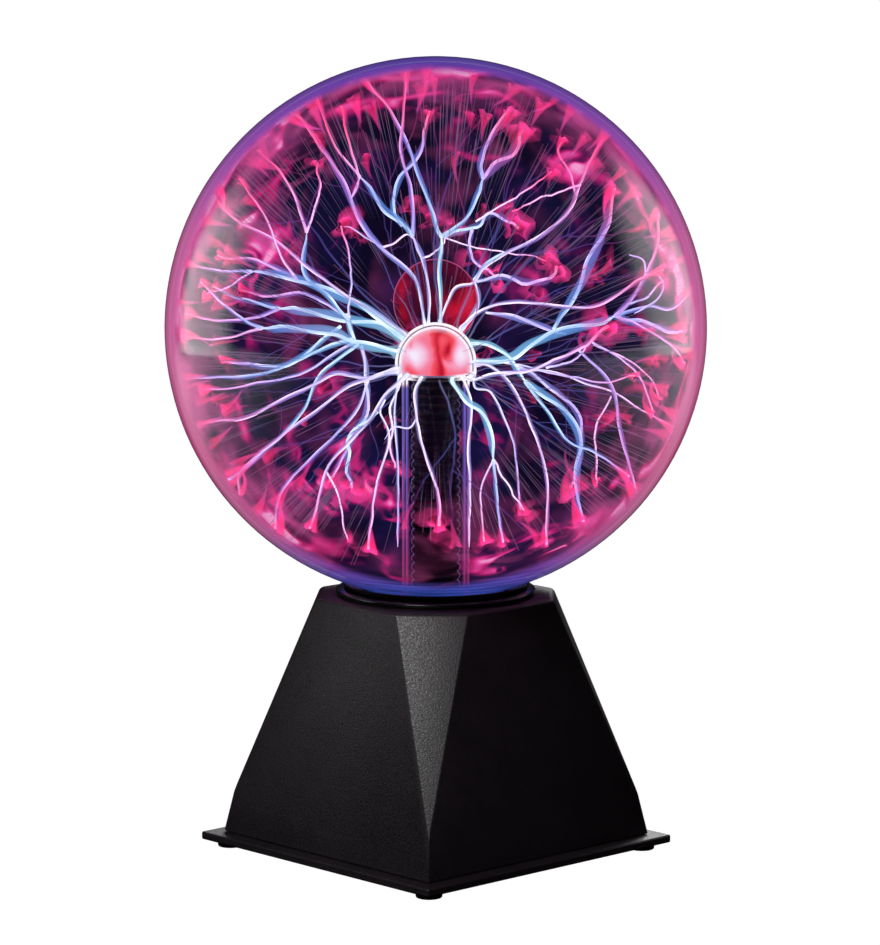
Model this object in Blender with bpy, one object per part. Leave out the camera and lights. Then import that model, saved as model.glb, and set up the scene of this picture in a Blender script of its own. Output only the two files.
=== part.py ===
"""Desk plasma ball: a blown glass globe with a re-entrant electrode stem, on a pyramid stand.

The stand is a moulded shell with four corner facets. It closes on a flanged bottom plate, and
holds the high-voltage driver board, the rear power jack and a three-position rocker switch.

Frame: metres, +Z up. The origin is on the surface that the feet stand on, under the globe's
axis. The stand's sides face along X and Y, and the rear panel, with switch and jack, faces +Y.
"""

import math

import bmesh
import bpy
from mathutils import Vector

MM = 0.001
GAP = 0.3 * MM  # kept between neighbouring solids

# Globe: an 8 inch sphere blown onto a short neck.
GLOBE_R = 101.6 * MM
GLOBE_WALL = 2.2 * MM
GLOBE_Z = 199.3 * MM
NECK_R = 25.0 * MM
NECK_WALL = 2.0 * MM
NECK_FILLET = 6.0 * MM
NECK_BOTTOM_Z = 76.0 * MM

# Electrode stem, standing on the globe's axis.
STEM_R = 12.75 * MM
STEM_WALL = 1.5 * MM
BULB_R = 15.3 * MM
BULB_Z = 186.1 * MM  # centre of the bulb's dome
BULB_SKIRT = 4.1 * MM  # straight part below the dome
FLARE_Z = 94.0 * MM  # where the tube starts to widen towards the neck
CORE_R = 9.2 * MM
CORE_RIB = 0.8 * MM
CORE_PITCH = 3.25 * MM
CORE_RIBS = 26
ROD_R = 1.2 * MM

# Stand: a square pyramid whose corners are cut by facets that taper to a point.
PLATE_SIDE = 127.0 * MM
PLATE_T = 3.0 * MM
FOOT_GAP_Z = 2.5 * MM  # underside of the plate above the floor
PLATE_TOP_Z = FOOT_GAP_Z + PLATE_T
SHELL_BOTTOM_Z = PLATE_TOP_Z + GAP
SHELL_TOP_Z = 98.6 * MM
SHELL_WALL = 2.5 * MM
HALF_BOTTOM = 57.35 * MM
HALF_TOP = 40.95 * MM
FACET_TIP_Z = 20.8 * MM
FACET_TOP_D = 44.4 * MM  # from the axis to the middle of a facet's top edge
COLLAR_HOLE_R = 31.0 * MM
FACE_SLOPE = (HALF_BOTTOM - HALF_TOP) / (SHELL_TOP_Z - SHELL_BOTTOM_Z)
FACE_LEAN = math.atan(FACE_SLOPE)

FOOT_R = 5.0 * MM
FOOT_INSET = 8.0 * MM
CORNER_BOSS = 45.0 * MM  # plate screws, from the axis along X and Y
CLAMP_BOSS = 24.5 * MM  # neck holder screws, from the axis along X and Y

# Driver board, on posts of the bottom plate.
BOARD_X, BOARD_Y, BOARD_T = 72.0 * MM, 60.0 * MM, 1.6 * MM
BOARD_HOLE_X, BOARD_HOLE_Y = 31.0 * MM, 25.0 * MM
BOARD_Z = 14.0 * MM
ON_BOARD_Z = BOARD_Z + BOARD_T + GAP

# Rear panel: the middle of the switch and the jack on the shell's rear face.
PANEL_Z = 34.0 * MM
PANEL_Y = HALF_BOTTOM - FACE_SLOPE * (PANEL_Z - SHELL_BOTTOM_Z)
SWITCH_X, JACK_X = -18.0 * MM, 18.0 * MM
ROCKER_PIVOT_DEPTH = 3.0 * MM

ROUND = 32  # sides of the large turned parts
SMALL_ROUND = 12


# ---------------------------------------------------------------- materials


def material(name, colour, roughness, metallic=0.0):
    """A Principled material, made once for each name."""
    found = bpy.data.materials.get(name)
    if found:
        return found
    made = bpy.data.materials.new(name)
    made.use_nodes = True
    shader = made.node_tree.nodes["Principled BSDF"]
    shader.inputs["Base Color"].default_value = (*colour, 1.0)
    shader.inputs["Roughness"].default_value = roughness
    shader.inputs["Metallic"].default_value = metallic
    return made


def glass():
    return material("globe_glass", (0.80, 0.82, 0.90), 0.03)


def black_abs():
    return material("black_abs", (0.012, 0.011, 0.013), 0.45)


def black_rubber():
    return material("black_rubber", (0.010, 0.010, 0.010), 0.80)


def steel():
    return material("zinc_plated_steel", (0.56, 0.57, 0.58), 0.35, 1.0)


def nylon():
    return material("black_nylon", (0.015, 0.015, 0.016), 0.55)


# ---------------------------------------------------------------- modelling helpers


def add_object(name, mesh, finish, location=(0, 0, 0), parent=None, smooth=True):
    """Puts a mesh or a curve in the scene as the named sub-part."""
    mesh.materials.append(finish)
    obj = bpy.data.objects.new(name, mesh)
    bpy.context.scene.collection.objects.link(obj)
    obj.location = location
    obj.parent = parent
    if smooth and isinstance(mesh, bpy.types.Mesh):
        mesh.shade_smooth()
        mesh.set_sharp_from_angle(angle=math.radians(35))
    return obj


def mesh_from(bm, name):
    """The finished mesh of a bmesh, with its faces turned outwards."""
    bmesh.ops.recalc_face_normals(bm, faces=bm.faces)
    mesh = bpy.data.meshes.new(name)
    bm.to_mesh(mesh)
    bm.free()
    return mesh


def turned(name, profile, finish, sides=ROUND, **place):
    """A solid of revolution about Z. The profile is a list of (radius, height) points; a point
    on the axis has radius 0."""
    bm = bmesh.new()
    points = [bm.verts.new((r, 0, z)) for r, z in profile]
    for first, second in zip(points, points[1:] + points[:1]):
        if first.co.x > 0 or second.co.x > 0:
            bm.edges.new((first, second))
    geometry = bm.verts[:] + bm.edges[:]
    bmesh.ops.spin(
        bm, geom=geometry, cent=(0, 0, 0), axis=(0, 0, 1), angle=math.tau, steps=sides
    )
    bmesh.ops.remove_doubles(bm, verts=bm.verts, dist=1e-6)
    return add_object(name, mesh_from(bm, name), finish, **place)


def arc(centre, radius, start, end, steps):
    """Points (radius, height) of a profile along a circle, from one angle in degrees to another."""
    angles = [math.radians(start + (end - start) * i / steps) for i in range(steps + 1)]
    return [(centre[0] + radius * math.cos(a), centre[1] + radius * math.sin(a)) for a in angles]


def add_box(bm, size, centre):
    """Adds a box to a bmesh and returns its vertices."""
    made = bmesh.ops.create_cube(bm, size=1.0)["verts"]
    bmesh.ops.scale(bm, vec=Vector(size), verts=made)
    bmesh.ops.translate(bm, vec=Vector(centre), verts=made)
    return made


def add_cylinder(bm, radius, low, high, at=(0, 0), sides=SMALL_ROUND):
    """Adds an upright cylinder to a bmesh."""
    made = bmesh.ops.create_cone(
        bm, cap_ends=True, segments=sides, radius1=radius, radius2=radius, depth=high - low
    )["verts"]
    bmesh.ops.translate(bm, vec=Vector((*at, (low + high) / 2)), verts=made)


def block(name, size, centre, finish, bevel=0.0, **place):
    """A box with its edges bevelled."""
    bm = bmesh.new()
    add_box(bm, size, centre)
    if bevel:
        bmesh.ops.bevel(bm, geom=bm.edges[:], offset=bevel, segments=1, affect="EDGES")
    return add_object(name, mesh_from(bm, name), finish, smooth=False, **place)


def extruded(name, outline, depth, finish, **place):
    """A closed outline in the XY plane, extruded upwards from z = 0."""
    bm = bmesh.new()
    face = bm.faces.new([bm.verts.new((x, y, 0)) for x, y in outline])
    grown = bmesh.ops.extrude_face_region(bm, geom=[face])["geom"]
    top = [v for v in grown if isinstance(v, bmesh.types.BMVert)]
    bmesh.ops.translate(bm, vec=(0, 0, depth), verts=top)
    return add_object(name, mesh_from(bm, name), finish, smooth=False, **place)


def helper(name, bm, parent=None):
    """A cutter or an addition that is never part of the object itself."""
    obj = add_object(name, mesh_from(bm, name), black_abs(), parent=parent, smooth=False)
    obj.hide_render = True
    obj.display_type = "WIRE"
    return obj


def boolean(target, other, operation="DIFFERENCE"):
    """Cuts a helper from a sub-part, or joins it to the sub-part."""
    step = target.modifiers.new(other.name, "BOOLEAN")
    step.operation = operation
    step.object = other


def at_corners(x, y):
    """The four places (±x, ±y), each with its name."""
    return [
        ("rear_right", x, y),
        ("rear_left", -x, y),
        ("front_left", -x, -y),
        ("front_right", x, -y),
    ]


def smooth_route(points, steps=4):
    """Points along a Catmull-Rom curve through a wire's own route points."""
    route = [Vector(p) for p in points]
    padded = [2 * route[0] - route[1], *route, 2 * route[-1] - route[-2]]
    found = []
    for a, b, c, d in zip(padded, padded[1:], padded[2:], padded[3:]):
        for i in range(steps):
            t = i / steps
            found.append(
                0.5 * (2 * b + (c - a) * t + (2 * a - 5 * b + 4 * c - d) * t**2
                       + (3 * b - a - 3 * c + d) * t**3)
            )
    return [*found, route[-1]]


def wire(name, points, radius, finish):
    """An insulated lead: a round tube along its route, closed at both ends."""
    curve = bpy.data.curves.new(name, "CURVE")
    curve.dimensions = "3D"
    curve.bevel_depth = radius
    curve.bevel_resolution = 2
    curve.use_fill_caps = True
    route = smooth_route(points)
    spline = curve.splines.new("POLY")
    spline.points.add(len(route) - 1)
    for point, place in zip(spline.points, route):
        point.co = (*place, 1.0)
    return add_object(name, curve, finish)


def screw(name, head_r, head_h, shank_r, shank_l, location, upside_down=False):
    """A pan-head screw whose head's underside is at its origin and whose shank points down."""
    dimple = 0.45 * head_r
    profile = [
        (0, head_h * 0.35),
        (dimple, head_h),
        (head_r * 0.75, head_h),
        (head_r, head_h * 0.45),
        (head_r, 0),
        (shank_r, 0),
        (shank_r, -shank_l + shank_r),
        (shank_r * 0.3, -shank_l),
        (0, -shank_l),
    ]
    obj = turned(name, profile, steel(), sides=10, location=location)
    if upside_down:
        obj.rotation_euler = (math.pi, 0, 0)
    return obj


# ---------------------------------------------------------------- globe and stem


def make_globe():
    """The glass globe: sphere, fillet and open neck, which the stem's flare closes."""
    reach = GLOBE_R + NECK_FILLET
    fillet_r = NECK_R + NECK_FILLET
    fillet_z = GLOBE_Z - math.sqrt(reach**2 - fillet_r**2)
    meet = -math.degrees(math.acos(fillet_r / reach))
    inner_r = GLOBE_R - GLOBE_WALL
    neck_inner = NECK_R - NECK_WALL
    inner_meet = -math.degrees(math.acos(neck_inner / inner_r))
    outside = [(0, GLOBE_Z + GLOBE_R), *arc((0, GLOBE_Z), GLOBE_R, 90, meet, 14)[1:]]
    fillet = arc((fillet_r, fillet_z), NECK_FILLET, 180 + meet, 180, 3)[1:]
    neck = [(NECK_R, NECK_BOTTOM_Z), (neck_inner, NECK_BOTTOM_Z)]
    inside = [*arc((0, GLOBE_Z), inner_r, inner_meet, 90, 14)[:-1], (0, GLOBE_Z + inner_r)]
    turned("globe_glass", outside + fillet + neck + inside, glass())


def make_stem():
    """The re-entrant glass tube: bulb on top, straight tube, and a flare sealed to the neck."""
    flare_r = NECK_R - NECK_WALL - GAP
    flare_centre = (flare_r, FLARE_Z)
    bore = STEM_R - STEM_WALL
    bulb_bore = BULB_R - STEM_WALL
    skirt_z = BULB_Z - BULB_SKIRT
    outside = [
        (0, BULB_Z + BULB_R),
        *arc((0, BULB_Z), BULB_R, 90, 0, 6)[1:],
        (BULB_R, skirt_z),
        (STEM_R, skirt_z - 1.4 * MM),
        *arc(flare_centre, flare_r - STEM_R, 180, 270, 4),
    ]
    inside = [
        *arc(flare_centre, flare_r - bore, 270, 180, 4),
        (bore, skirt_z - 0.4 * MM),
        (bulb_bore, skirt_z + 1.0 * MM),
        *arc((0, BULB_Z), bulb_bore, 0, 90, 6)[:-1],
        (0, BULB_Z + bulb_bore),
    ]
    turned("stem_tube", outside + inside, glass(), sides=24)

    tip = [(0, 82.5), (2.2, 82.5), (2.2, 77.0), (1.2, 72.5), (0, 70.8)]
    turned(
        "exhaust_tip", [(r * MM, z * MM) for r, z in tip], glass(), sides=SMALL_ROUND,
        location=(17.5 * MM, 0, 0),
    )


def make_electrode():
    """What stands inside the stem: lining and wool in the bulb, ribbed core, rod and boot."""
    liner_r, liner_wall = BULB_R - STEM_WALL - 0.4 * MM, 0.8 * MM
    liner_z = BULB_Z - BULB_SKIRT + 1.5 * MM
    liner = [
        (0, BULB_Z + liner_r),
        *arc((0, BULB_Z), liner_r, 90, 0, 5)[1:],
        (liner_r, liner_z),
        (liner_r - liner_wall, liner_z),
        *arc((0, BULB_Z), liner_r - liner_wall, 0, 90, 5)[:-1],
        (0, BULB_Z + liner_r - liner_wall),
    ]
    graphite = material("graphite_coating", (0.45, 0.06, 0.08), 0.5, 0.3)
    turned("electrode_liner", liner, graphite, sides=20)

    wool_r, bore_top = liner_r - liner_wall - 0.4 * MM, 191.0 * MM
    bore = ROD_R + 0.4 * MM
    wool = [
        (0, BULB_Z + wool_r),
        *arc((0, BULB_Z), wool_r, 90, 0, 4)[1:],
        (wool_r, liner_z),
        (bore, liner_z),
        (bore, bore_top),
        (0, bore_top),
    ]
    turned("contact_wool", wool, steel(), sides=16)

    core_bottom = FLARE_Z + 3.0 * MM
    ribs = []
    for i in range(CORE_RIBS):
        rib_z = core_bottom + i * CORE_PITCH
        ribs += [(CORE_R - CORE_RIB, rib_z), (CORE_R, rib_z + CORE_PITCH / 2)]
    core_top = core_bottom + CORE_RIBS * CORE_PITCH
    core = [*ribs, (CORE_R - CORE_RIB, core_top), (bore, core_top), (bore, core_bottom)]
    turned("stem_core", core, nylon(), sides=16)

    bush = [(bore, 87.5), (10.6, 87.5), (10.6, 96.5), (bore, 96.5)]
    bush = [(r if r == bore else r * MM, z * MM) for r, z in bush]
    turned("stem_bush", bush, black_rubber(), sides=16)

    rod_bottom, rod_top = 72.0 * MM, 190.5 * MM
    rod = [(0, rod_top), (ROD_R, rod_top), (ROD_R, rod_bottom), (0, rod_bottom)]
    turned("contact_rod", rod, material("brass", (0.60, 0.42, 0.16), 0.3, 1.0), sides=10)

    boot = [(bore, 86.5), (3.2, 86.5), (4.2, 80.0), (4.2, 68.0), (2.4, 66.0), (0, 66.0), (0, 71.6),
            (bore, 71.6)]
    boot = [(r if r == bore else r * MM, z * MM) for r, z in boot]
    turned("high_voltage_boot", boot, black_rubber(), sides=SMALL_ROUND)


def make_neck_mount():
    """The parts that seat and hold the globe's neck in the top of the stand."""
    collar = [
        (28.6, 94.0), (30.6, 94.0), (30.6, 98.9), (37.8, 98.9), (37.8, 100.4), (36.6, 101.4),
        (29.2, 101.4), (28.6, 100.8),
    ]
    turned("collar_ring", [(r * MM, z * MM) for r, z in collar], black_abs())

    gasket = [(30.5, 101.7), (35.0, 101.7), (35.0, 103.4), (30.5, 101.98)]
    turned("globe_gasket", [(r * MM, z * MM) for r, z in gasket], black_rubber())

    sleeve = [(25.3, 77.0), (26.9, 77.0), (26.9, 93.0), (25.3, 93.0)]
    silicone = material("silicone", (0.70, 0.70, 0.68), 0.6)
    turned("neck_sleeve", [(r * MM, z * MM) for r, z in sleeve], silicone, sides=24)

    holder = [
        (27.2, 75.0), (29.4, 75.0), (29.4, 86.9), (38.0, 86.9), (38.0, 89.6), (29.4, 89.6),
        (29.4, 93.0), (27.2, 93.0),
    ]
    holder = turned("neck_holder", [(r * MM, z * MM) for r, z in holder], nylon(), sides=24)
    holes = bmesh.new()
    for _, x, y in at_corners(CLAMP_BOSS, CLAMP_BOSS):
        add_cylinder(holes, 1.8 * MM, 86.0 * MM, 90.5 * MM, (x, y))
    boolean(holder, helper("neck_holder_holes", holes))
    for place, x, y in at_corners(CLAMP_BOSS, CLAMP_BOSS):
        screw(f"clamp_screw_{place}", 2.8 * MM, 2.0 * MM, 1.35 * MM, 7.6 * MM,
              (x, y, 86.6 * MM), upside_down=True)


# ---------------------------------------------------------------- stand


def pyramid(inset, low, high):
    """A bmesh of the stand's body, with every side moved inwards by inset, from low to high."""

    def half(z):
        return HALF_BOTTOM - FACE_SLOPE * (z - SHELL_BOTTOM_Z) - inset / math.cos(FACE_LEAN)

    tip_d = math.sqrt(2) * (HALF_BOTTOM - FACE_SLOPE * (FACET_TIP_Z - SHELL_BOTTOM_Z))
    facet_slope = (tip_d - FACET_TOP_D) / (SHELL_TOP_Z - FACET_TIP_Z)
    facet_inset = inset * math.hypot(1, facet_slope)

    def facet(z):
        return tip_d - facet_slope * (z - FACET_TIP_Z) - facet_inset

    # A corner edge ends where the facet reaches it.
    edge_slope = math.sqrt(2) * FACE_SLOPE
    tip_z = low + (facet(low) - math.sqrt(2) * half(low)) / (facet_slope - edge_slope)

    bm = bmesh.new()
    corners = [(1, 1), (-1, 1), (-1, -1), (1, -1)]
    bottom = [bm.verts.new((half(low) * x, half(low) * y, low)) for x, y in corners]
    tips = [bm.verts.new((half(tip_z) * x, half(tip_z) * y, tip_z)) for x, y in corners]
    near = math.sqrt(2) * facet(high) - half(high)
    along = [bm.verts.new((x * (near if x * y > 0 else half(high)),
                           y * (half(high) if x * y > 0 else near), high)) for x, y in corners]
    after = [bm.verts.new((x * (half(high) if x * y > 0 else near),
                           y * (near if x * y > 0 else half(high)), high)) for x, y in corners]
    bm.faces.new(bottom)
    bm.faces.new([v for pair in zip(after, along) for v in pair])
    for i in range(4):
        j = (i + 1) % 4
        bm.faces.new((bottom[i], bottom[j], tips[j], after[j], along[i], tips[i]))
        bm.faces.new((tips[i], along[i], after[i]))
    return bm


def make_shell(switch_mount, jack_mount):
    """The moulded pyramid shell with its inner bosses and its openings."""
    body = pyramid(0, SHELL_BOTTOM_Z, SHELL_TOP_Z)
    shell = add_object("base_shell", mesh_from(body, "base_shell"), black_abs(), smooth=False)
    boolean(shell, helper("shell_hollow", pyramid(SHELL_WALL, SHELL_BOTTOM_Z - 2 * MM,
                                                   SHELL_TOP_Z - SHELL_WALL)))
    bosses = bmesh.new()
    for _, x, y in at_corners(CORNER_BOSS, CORNER_BOSS):
        add_cylinder(bosses, 3.5 * MM, SHELL_BOTTOM_Z, 42 * MM, (x, y))
    for _, x, y in at_corners(CLAMP_BOSS, CLAMP_BOSS):
        add_cylinder(bosses, 3.2 * MM, 89.9 * MM, SHELL_TOP_Z - 1 * MM, (x, y))
    boolean(shell, helper("shell_bosses", bosses), "UNION")

    holes = bmesh.new()
    for _, x, y in at_corners(CORNER_BOSS, CORNER_BOSS):
        add_cylinder(holes, 1.8 * MM, SHELL_BOTTOM_Z - 1 * MM, 18 * MM, (x, y), 8)
    for _, x, y in at_corners(CLAMP_BOSS, CLAMP_BOSS):
        add_cylinder(holes, 1.7 * MM, 88 * MM, 95.5 * MM, (x, y), 8)
    add_cylinder(holes, COLLAR_HOLE_R, SHELL_TOP_Z - 6 * MM, SHELL_TOP_Z + 2 * MM, sides=ROUND)
    boolean(shell, helper("shell_holes", holes))

    switch_cut = bmesh.new()
    add_box(switch_cut, (14.6 * MM, 21.6 * MM, 12 * MM), (0, 0, 0))
    boolean(shell, helper("switch_cut_out", switch_cut, parent=switch_mount))
    jack_cut = bmesh.new()
    add_cylinder(jack_cut, 5.8 * MM, -6 * MM, 6 * MM, sides=16)
    boolean(shell, helper("jack_cut_out", jack_cut, parent=jack_mount))


def make_bottom_plate():
    """The flanged plate that closes the stand: locating rib, board posts, vents and feet."""
    side = (PLATE_SIDE, PLATE_SIDE, PLATE_T)
    plate = block("bottom_plate", side, (0, 0, FOOT_GAP_Z + PLATE_T / 2), black_abs(), 0.5 * MM)

    rib = bmesh.new()
    rib_out, rib_in, rib_high = 52.5 * MM, 50.5 * MM, PLATE_TOP_Z + 4 * MM
    low = PLATE_TOP_Z - 1 * MM
    for turn in (-1, 1):
        middle, height = turn * (rib_out + rib_in) / 2, rib_high - low
        add_box(rib, (2 * rib_in, rib_out - rib_in, height), (0, middle, low + height / 2))
    boolean(plate, helper("locating_ribs", rib), "UNION")
    posts = bmesh.new()
    for _, x, y in at_corners(BOARD_HOLE_X, BOARD_HOLE_Y):
        add_cylinder(posts, 3.5 * MM, low, BOARD_Z - GAP, (x, y))
    boolean(plate, helper("board_posts", posts), "UNION")

    holes = bmesh.new()
    for _, x, y in at_corners(BOARD_HOLE_X, BOARD_HOLE_Y):
        add_cylinder(holes, 1.4 * MM, 6.5 * MM, BOARD_Z + 1 * MM, (x, y), 8)
    for _, x, y in at_corners(CORNER_BOSS, CORNER_BOSS):
        add_cylinder(holes, 1.8 * MM, 3.5 * MM, PLATE_TOP_Z + 1 * MM, (x, y), 8)
    boolean(plate, helper("plate_holes", holes))
    recesses = bmesh.new()
    for _, x, y in at_corners(CORNER_BOSS, CORNER_BOSS):
        add_cylinder(recesses, 3.4 * MM, FOOT_GAP_Z - 1 * MM, FOOT_GAP_Z + 1.8 * MM, (x, y))
    slot_pitch, slot_size = 5 * MM, (2.2 * MM, 34 * MM, PLATE_T + 2 * MM)
    for i in range(-3, 4):
        add_box(recesses, slot_size, (i * slot_pitch, 0, FOOT_GAP_Z + PLATE_T / 2))
    boolean(plate, helper("plate_recesses_and_vents", recesses))

    foot_at = PLATE_SIDE / 2 - FOOT_INSET
    foot_top = FOOT_GAP_Z - GAP
    for place, x, y in at_corners(foot_at, foot_at):
        profile = [(0, 0), (FOOT_R - 0.6 * MM, 0), (FOOT_R, 0.6 * MM), (FOOT_R, foot_top), (0, foot_top)]
        turned(f"foot_{place}", profile, black_rubber(), sides=16, location=(x, y, 0))
    for place, x, y in at_corners(CORNER_BOSS, CORNER_BOSS):
        screw(f"plate_screw_{place}", 3.0 * MM, 1.4 * MM, 1.5 * MM, 11 * MM, (x, y, 4.0 * MM),
              upside_down=True)


# ---------------------------------------------------------------- driver board


def make_board():
    """The driver board and its four screws."""
    green = material("fibreglass_board", (0.03, 0.16, 0.07), 0.45)
    board = block("driver_board", (BOARD_X, BOARD_Y, BOARD_T), (0, 0, BOARD_Z + BOARD_T / 2), green)
    holes = bmesh.new()
    for _, x, y in at_corners(BOARD_HOLE_X, BOARD_HOLE_Y):
        add_cylinder(holes, 1.7 * MM, BOARD_Z - 1 * MM, BOARD_Z + 3 * MM, (x, y), 8)
    boolean(board, helper("board_holes", holes))
    for place, x, y in at_corners(BOARD_HOLE_X, BOARD_HOLE_Y):
        screw(f"board_screw_{place}", 2.6 * MM, 1.7 * MM, 1.0 * MM, 7.6 * MM, (x, y, ON_BOARD_Z))


def make_transformer():
    """The flyback transformer: a ferrite loop through a bobbin that carries the winding."""
    x, y = -14 * MM, 4 * MM
    yoke, leg, reach = 5 * MM, 6.6 * MM, 17 * MM
    low, high = ON_BOARD_Z, ON_BOARD_Z + 31.4 * MM
    half = leg / 2
    outline = [(-reach - half, low), (half, low), (half, high), (-reach - half, high)]
    window = [(-reach + half, low + yoke), (-half, low + yoke), (-half, high - yoke),
              (-reach + half, high - yoke)]
    bm = bmesh.new()
    for depth in (-half, half):
        outer = [bm.verts.new((px, depth, pz)) for px, pz in outline]
        inner = [bm.verts.new((px, depth, pz)) for px, pz in window]
        for i in range(4):
            j = (i + 1) % 4
            bm.faces.new((outer[i], outer[j], inner[j], inner[i]))
    bm.verts.ensure_lookup_table()
    for start in (0, 4):
        for i in range(4):
            a, b = start + i, start + (i + 1) % 4
            bm.faces.new([bm.verts[k] for k in (a, b, b + 8, a + 8)])
    ferrite = material("ferrite", (0.05, 0.05, 0.055), 0.5)
    add_object("ferrite_core", mesh_from(bm, "ferrite_core"), ferrite, (x, y, 0), smooth=False)

    bottom, top = low + yoke + GAP, high - yoke - GAP
    flange, flange_r, tube_r, bore_r = 1.5 * MM, 12 * MM, 6.8 * MM, 5.0 * MM
    bobbin = [(bore_r, bottom), (flange_r, bottom), (flange_r, bottom + flange),
              (tube_r, bottom + flange), (tube_r, top - flange), (flange_r, top - flange),
              (flange_r, top), (bore_r, top)]
    turned("transformer_bobbin", bobbin, nylon(), sides=20, location=(x, y, 0))
    winding_low, winding_high = bottom + flange + GAP, top - flange - GAP
    winding = [(tube_r + GAP, winding_low), (11 * MM, winding_low), (11 * MM, winding_high),
               (tube_r + GAP, winding_high)]
    copper = material("enamelled_copper", (0.50, 0.20, 0.07), 0.3, 1.0)
    turned("high_voltage_winding", winding, copper, sides=20, location=(x, y, 0))


def make_power_stage():
    """The power transistor, clamped by a screw to its finned heat sink."""
    base_x, base_t, fin_l, fin_t, fins = 27 * MM, 2 * MM, 6 * MM, 1.2 * MM, 6
    y_low, y_high, height = -22 * MM, 6 * MM, 26 * MM
    pitch = (y_high - y_low - fin_t) / (fins - 1)
    outline = [(base_x, y_high), (base_x, y_low)]
    for i in range(fins):
        y = y_low + i * pitch
        outline += [(base_x + base_t + fin_l, y), (base_x + base_t + fin_l, y + fin_t)]
        if i < fins - 1:
            outline += [(base_x + base_t, y + fin_t), (base_x + base_t, y + pitch)]
    aluminium = material("extruded_aluminium", (0.70, 0.71, 0.72), 0.4, 1.0)
    sink = extruded("heat_sink", outline, height, aluminium, location=(0, 0, ON_BOARD_Z))

    tab_t, middle, hole_z = 1.3 * MM, -8 * MM, ON_BOARD_Z + 14.5 * MM
    tab_x = base_x - GAP - tab_t
    profile = [(tab_x - 3.4 * MM, 0), (tab_x + tab_t, 0), (tab_x + tab_t, 17.5 * MM),
               (tab_x, 17.5 * MM), (tab_x, 10.5 * MM), (tab_x - 3.4 * MM, 10.5 * MM)]
    bm = bmesh.new()
    face = bm.faces.new([bm.verts.new((px, middle - 5 * MM, ON_BOARD_Z + pz)) for px, pz in profile])
    grown = bmesh.ops.extrude_face_region(bm, geom=[face])["geom"]
    side = [v for v in grown if isinstance(v, bmesh.types.BMVert)]
    bmesh.ops.translate(bm, vec=(0, 10 * MM, 0), verts=side)
    epoxy = material("black_epoxy", (0.02, 0.02, 0.022), 0.4)
    part = add_object("power_transistor", mesh_from(bm, "power_transistor"), epoxy, smooth=False)

    hole = bmesh.new()
    add_cylinder(hole, 1.8 * MM, -4 * MM, 4 * MM, sides=8)
    cutter = helper("transistor_hole", hole)
    cutter.rotation_euler = (0, math.pi / 2, 0)
    cutter.location = (base_x, middle, hole_z)
    boolean(part, cutter)
    boolean(sink, cutter)
    clamp = screw("transistor_screw", 2.7 * MM, 1.8 * MM, 1.5 * MM, 5.0 * MM,
                  (tab_x - GAP, middle, hole_z))
    clamp.rotation_euler = (0, -math.pi / 2, 0)


def make_small_parts():
    """Capacitors, resistors, chip, preset trimmer, microphone and headers on the board."""
    sleeve = material("capacitor_sleeve", (0.03, 0.04, 0.10), 0.35)
    for name, radius, height, x, y in (
        ("supply_capacitor", 6.3, 20, 6, 14),
        ("pulse_capacitor", 5.0, 16, 19, 14),
        ("timing_capacitor", 4.0, 11, -3, -22),
    ):
        r, h = radius * MM, height * MM
        can = [(0, 0), (r, 0), (r, 1.4 * MM), (r - 0.4 * MM, 2.0 * MM), (r, 2.6 * MM),
               (r, h - 0.6 * MM), (r - 0.6 * MM, h), (0, h)]
        turned(name, can, sleeve, sides=14, location=(x * MM, y * MM, ON_BOARD_Z))
    yellow = material("film_capacitor_case", (0.55, 0.30, 0.04), 0.4)
    at_z = ON_BOARD_Z
    block("film_capacitor", (13 * MM, 6 * MM, 11 * MM), (-18 * MM, -21 * MM, at_z + 5.5 * MM),
          yellow, 0.5 * MM)
    epoxy = material("black_epoxy", (0.02, 0.02, 0.022), 0.4)
    block("driver_chip", (9.6 * MM, 6.4 * MM, 3.4 * MM), (6 * MM, -10 * MM, at_z + 1.7 * MM),
          epoxy, 0.3 * MM)
    tan = material("resistor_body", (0.55, 0.42, 0.26), 0.5)
    for i, name in enumerate(("base_resistor", "feedback_resistor", "bias_resistor")):
        r, end = 1.3 * MM, 4 * MM
        body = [(0, -end), (r, -end), (r, -end * 0.6), (r * 0.75, -end * 0.45),
                (r * 0.75, end * 0.45), (r, end * 0.6), (r, end), (0, end)]
        obj = turned(name, body, tan, sides=10, location=((-9 + 4 * i) * MM, -13 * MM, at_z + r))
        obj.rotation_euler = (math.pi / 2, 0, 0)
    capsule = [(0, 0), (4.8, 0), (4.8, 5.0), (4.2, 5.6), (1.2, 5.6), (1.2, 4.8), (0, 4.8)]
    turned("microphone", [(r * MM, z * MM) for r, z in capsule], steel(), sides=16,
           location=(-27 * MM, -12 * MM, at_z))
    white = material("header_nylon", (0.80, 0.79, 0.74), 0.5)
    for name, x in (("power_header", 10), ("switch_header", -10)):
        block(name, (8 * MM, 5 * MM, 6 * MM), (x * MM, 26.2 * MM, at_z + 3 * MM), white, 0.3 * MM)


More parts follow.
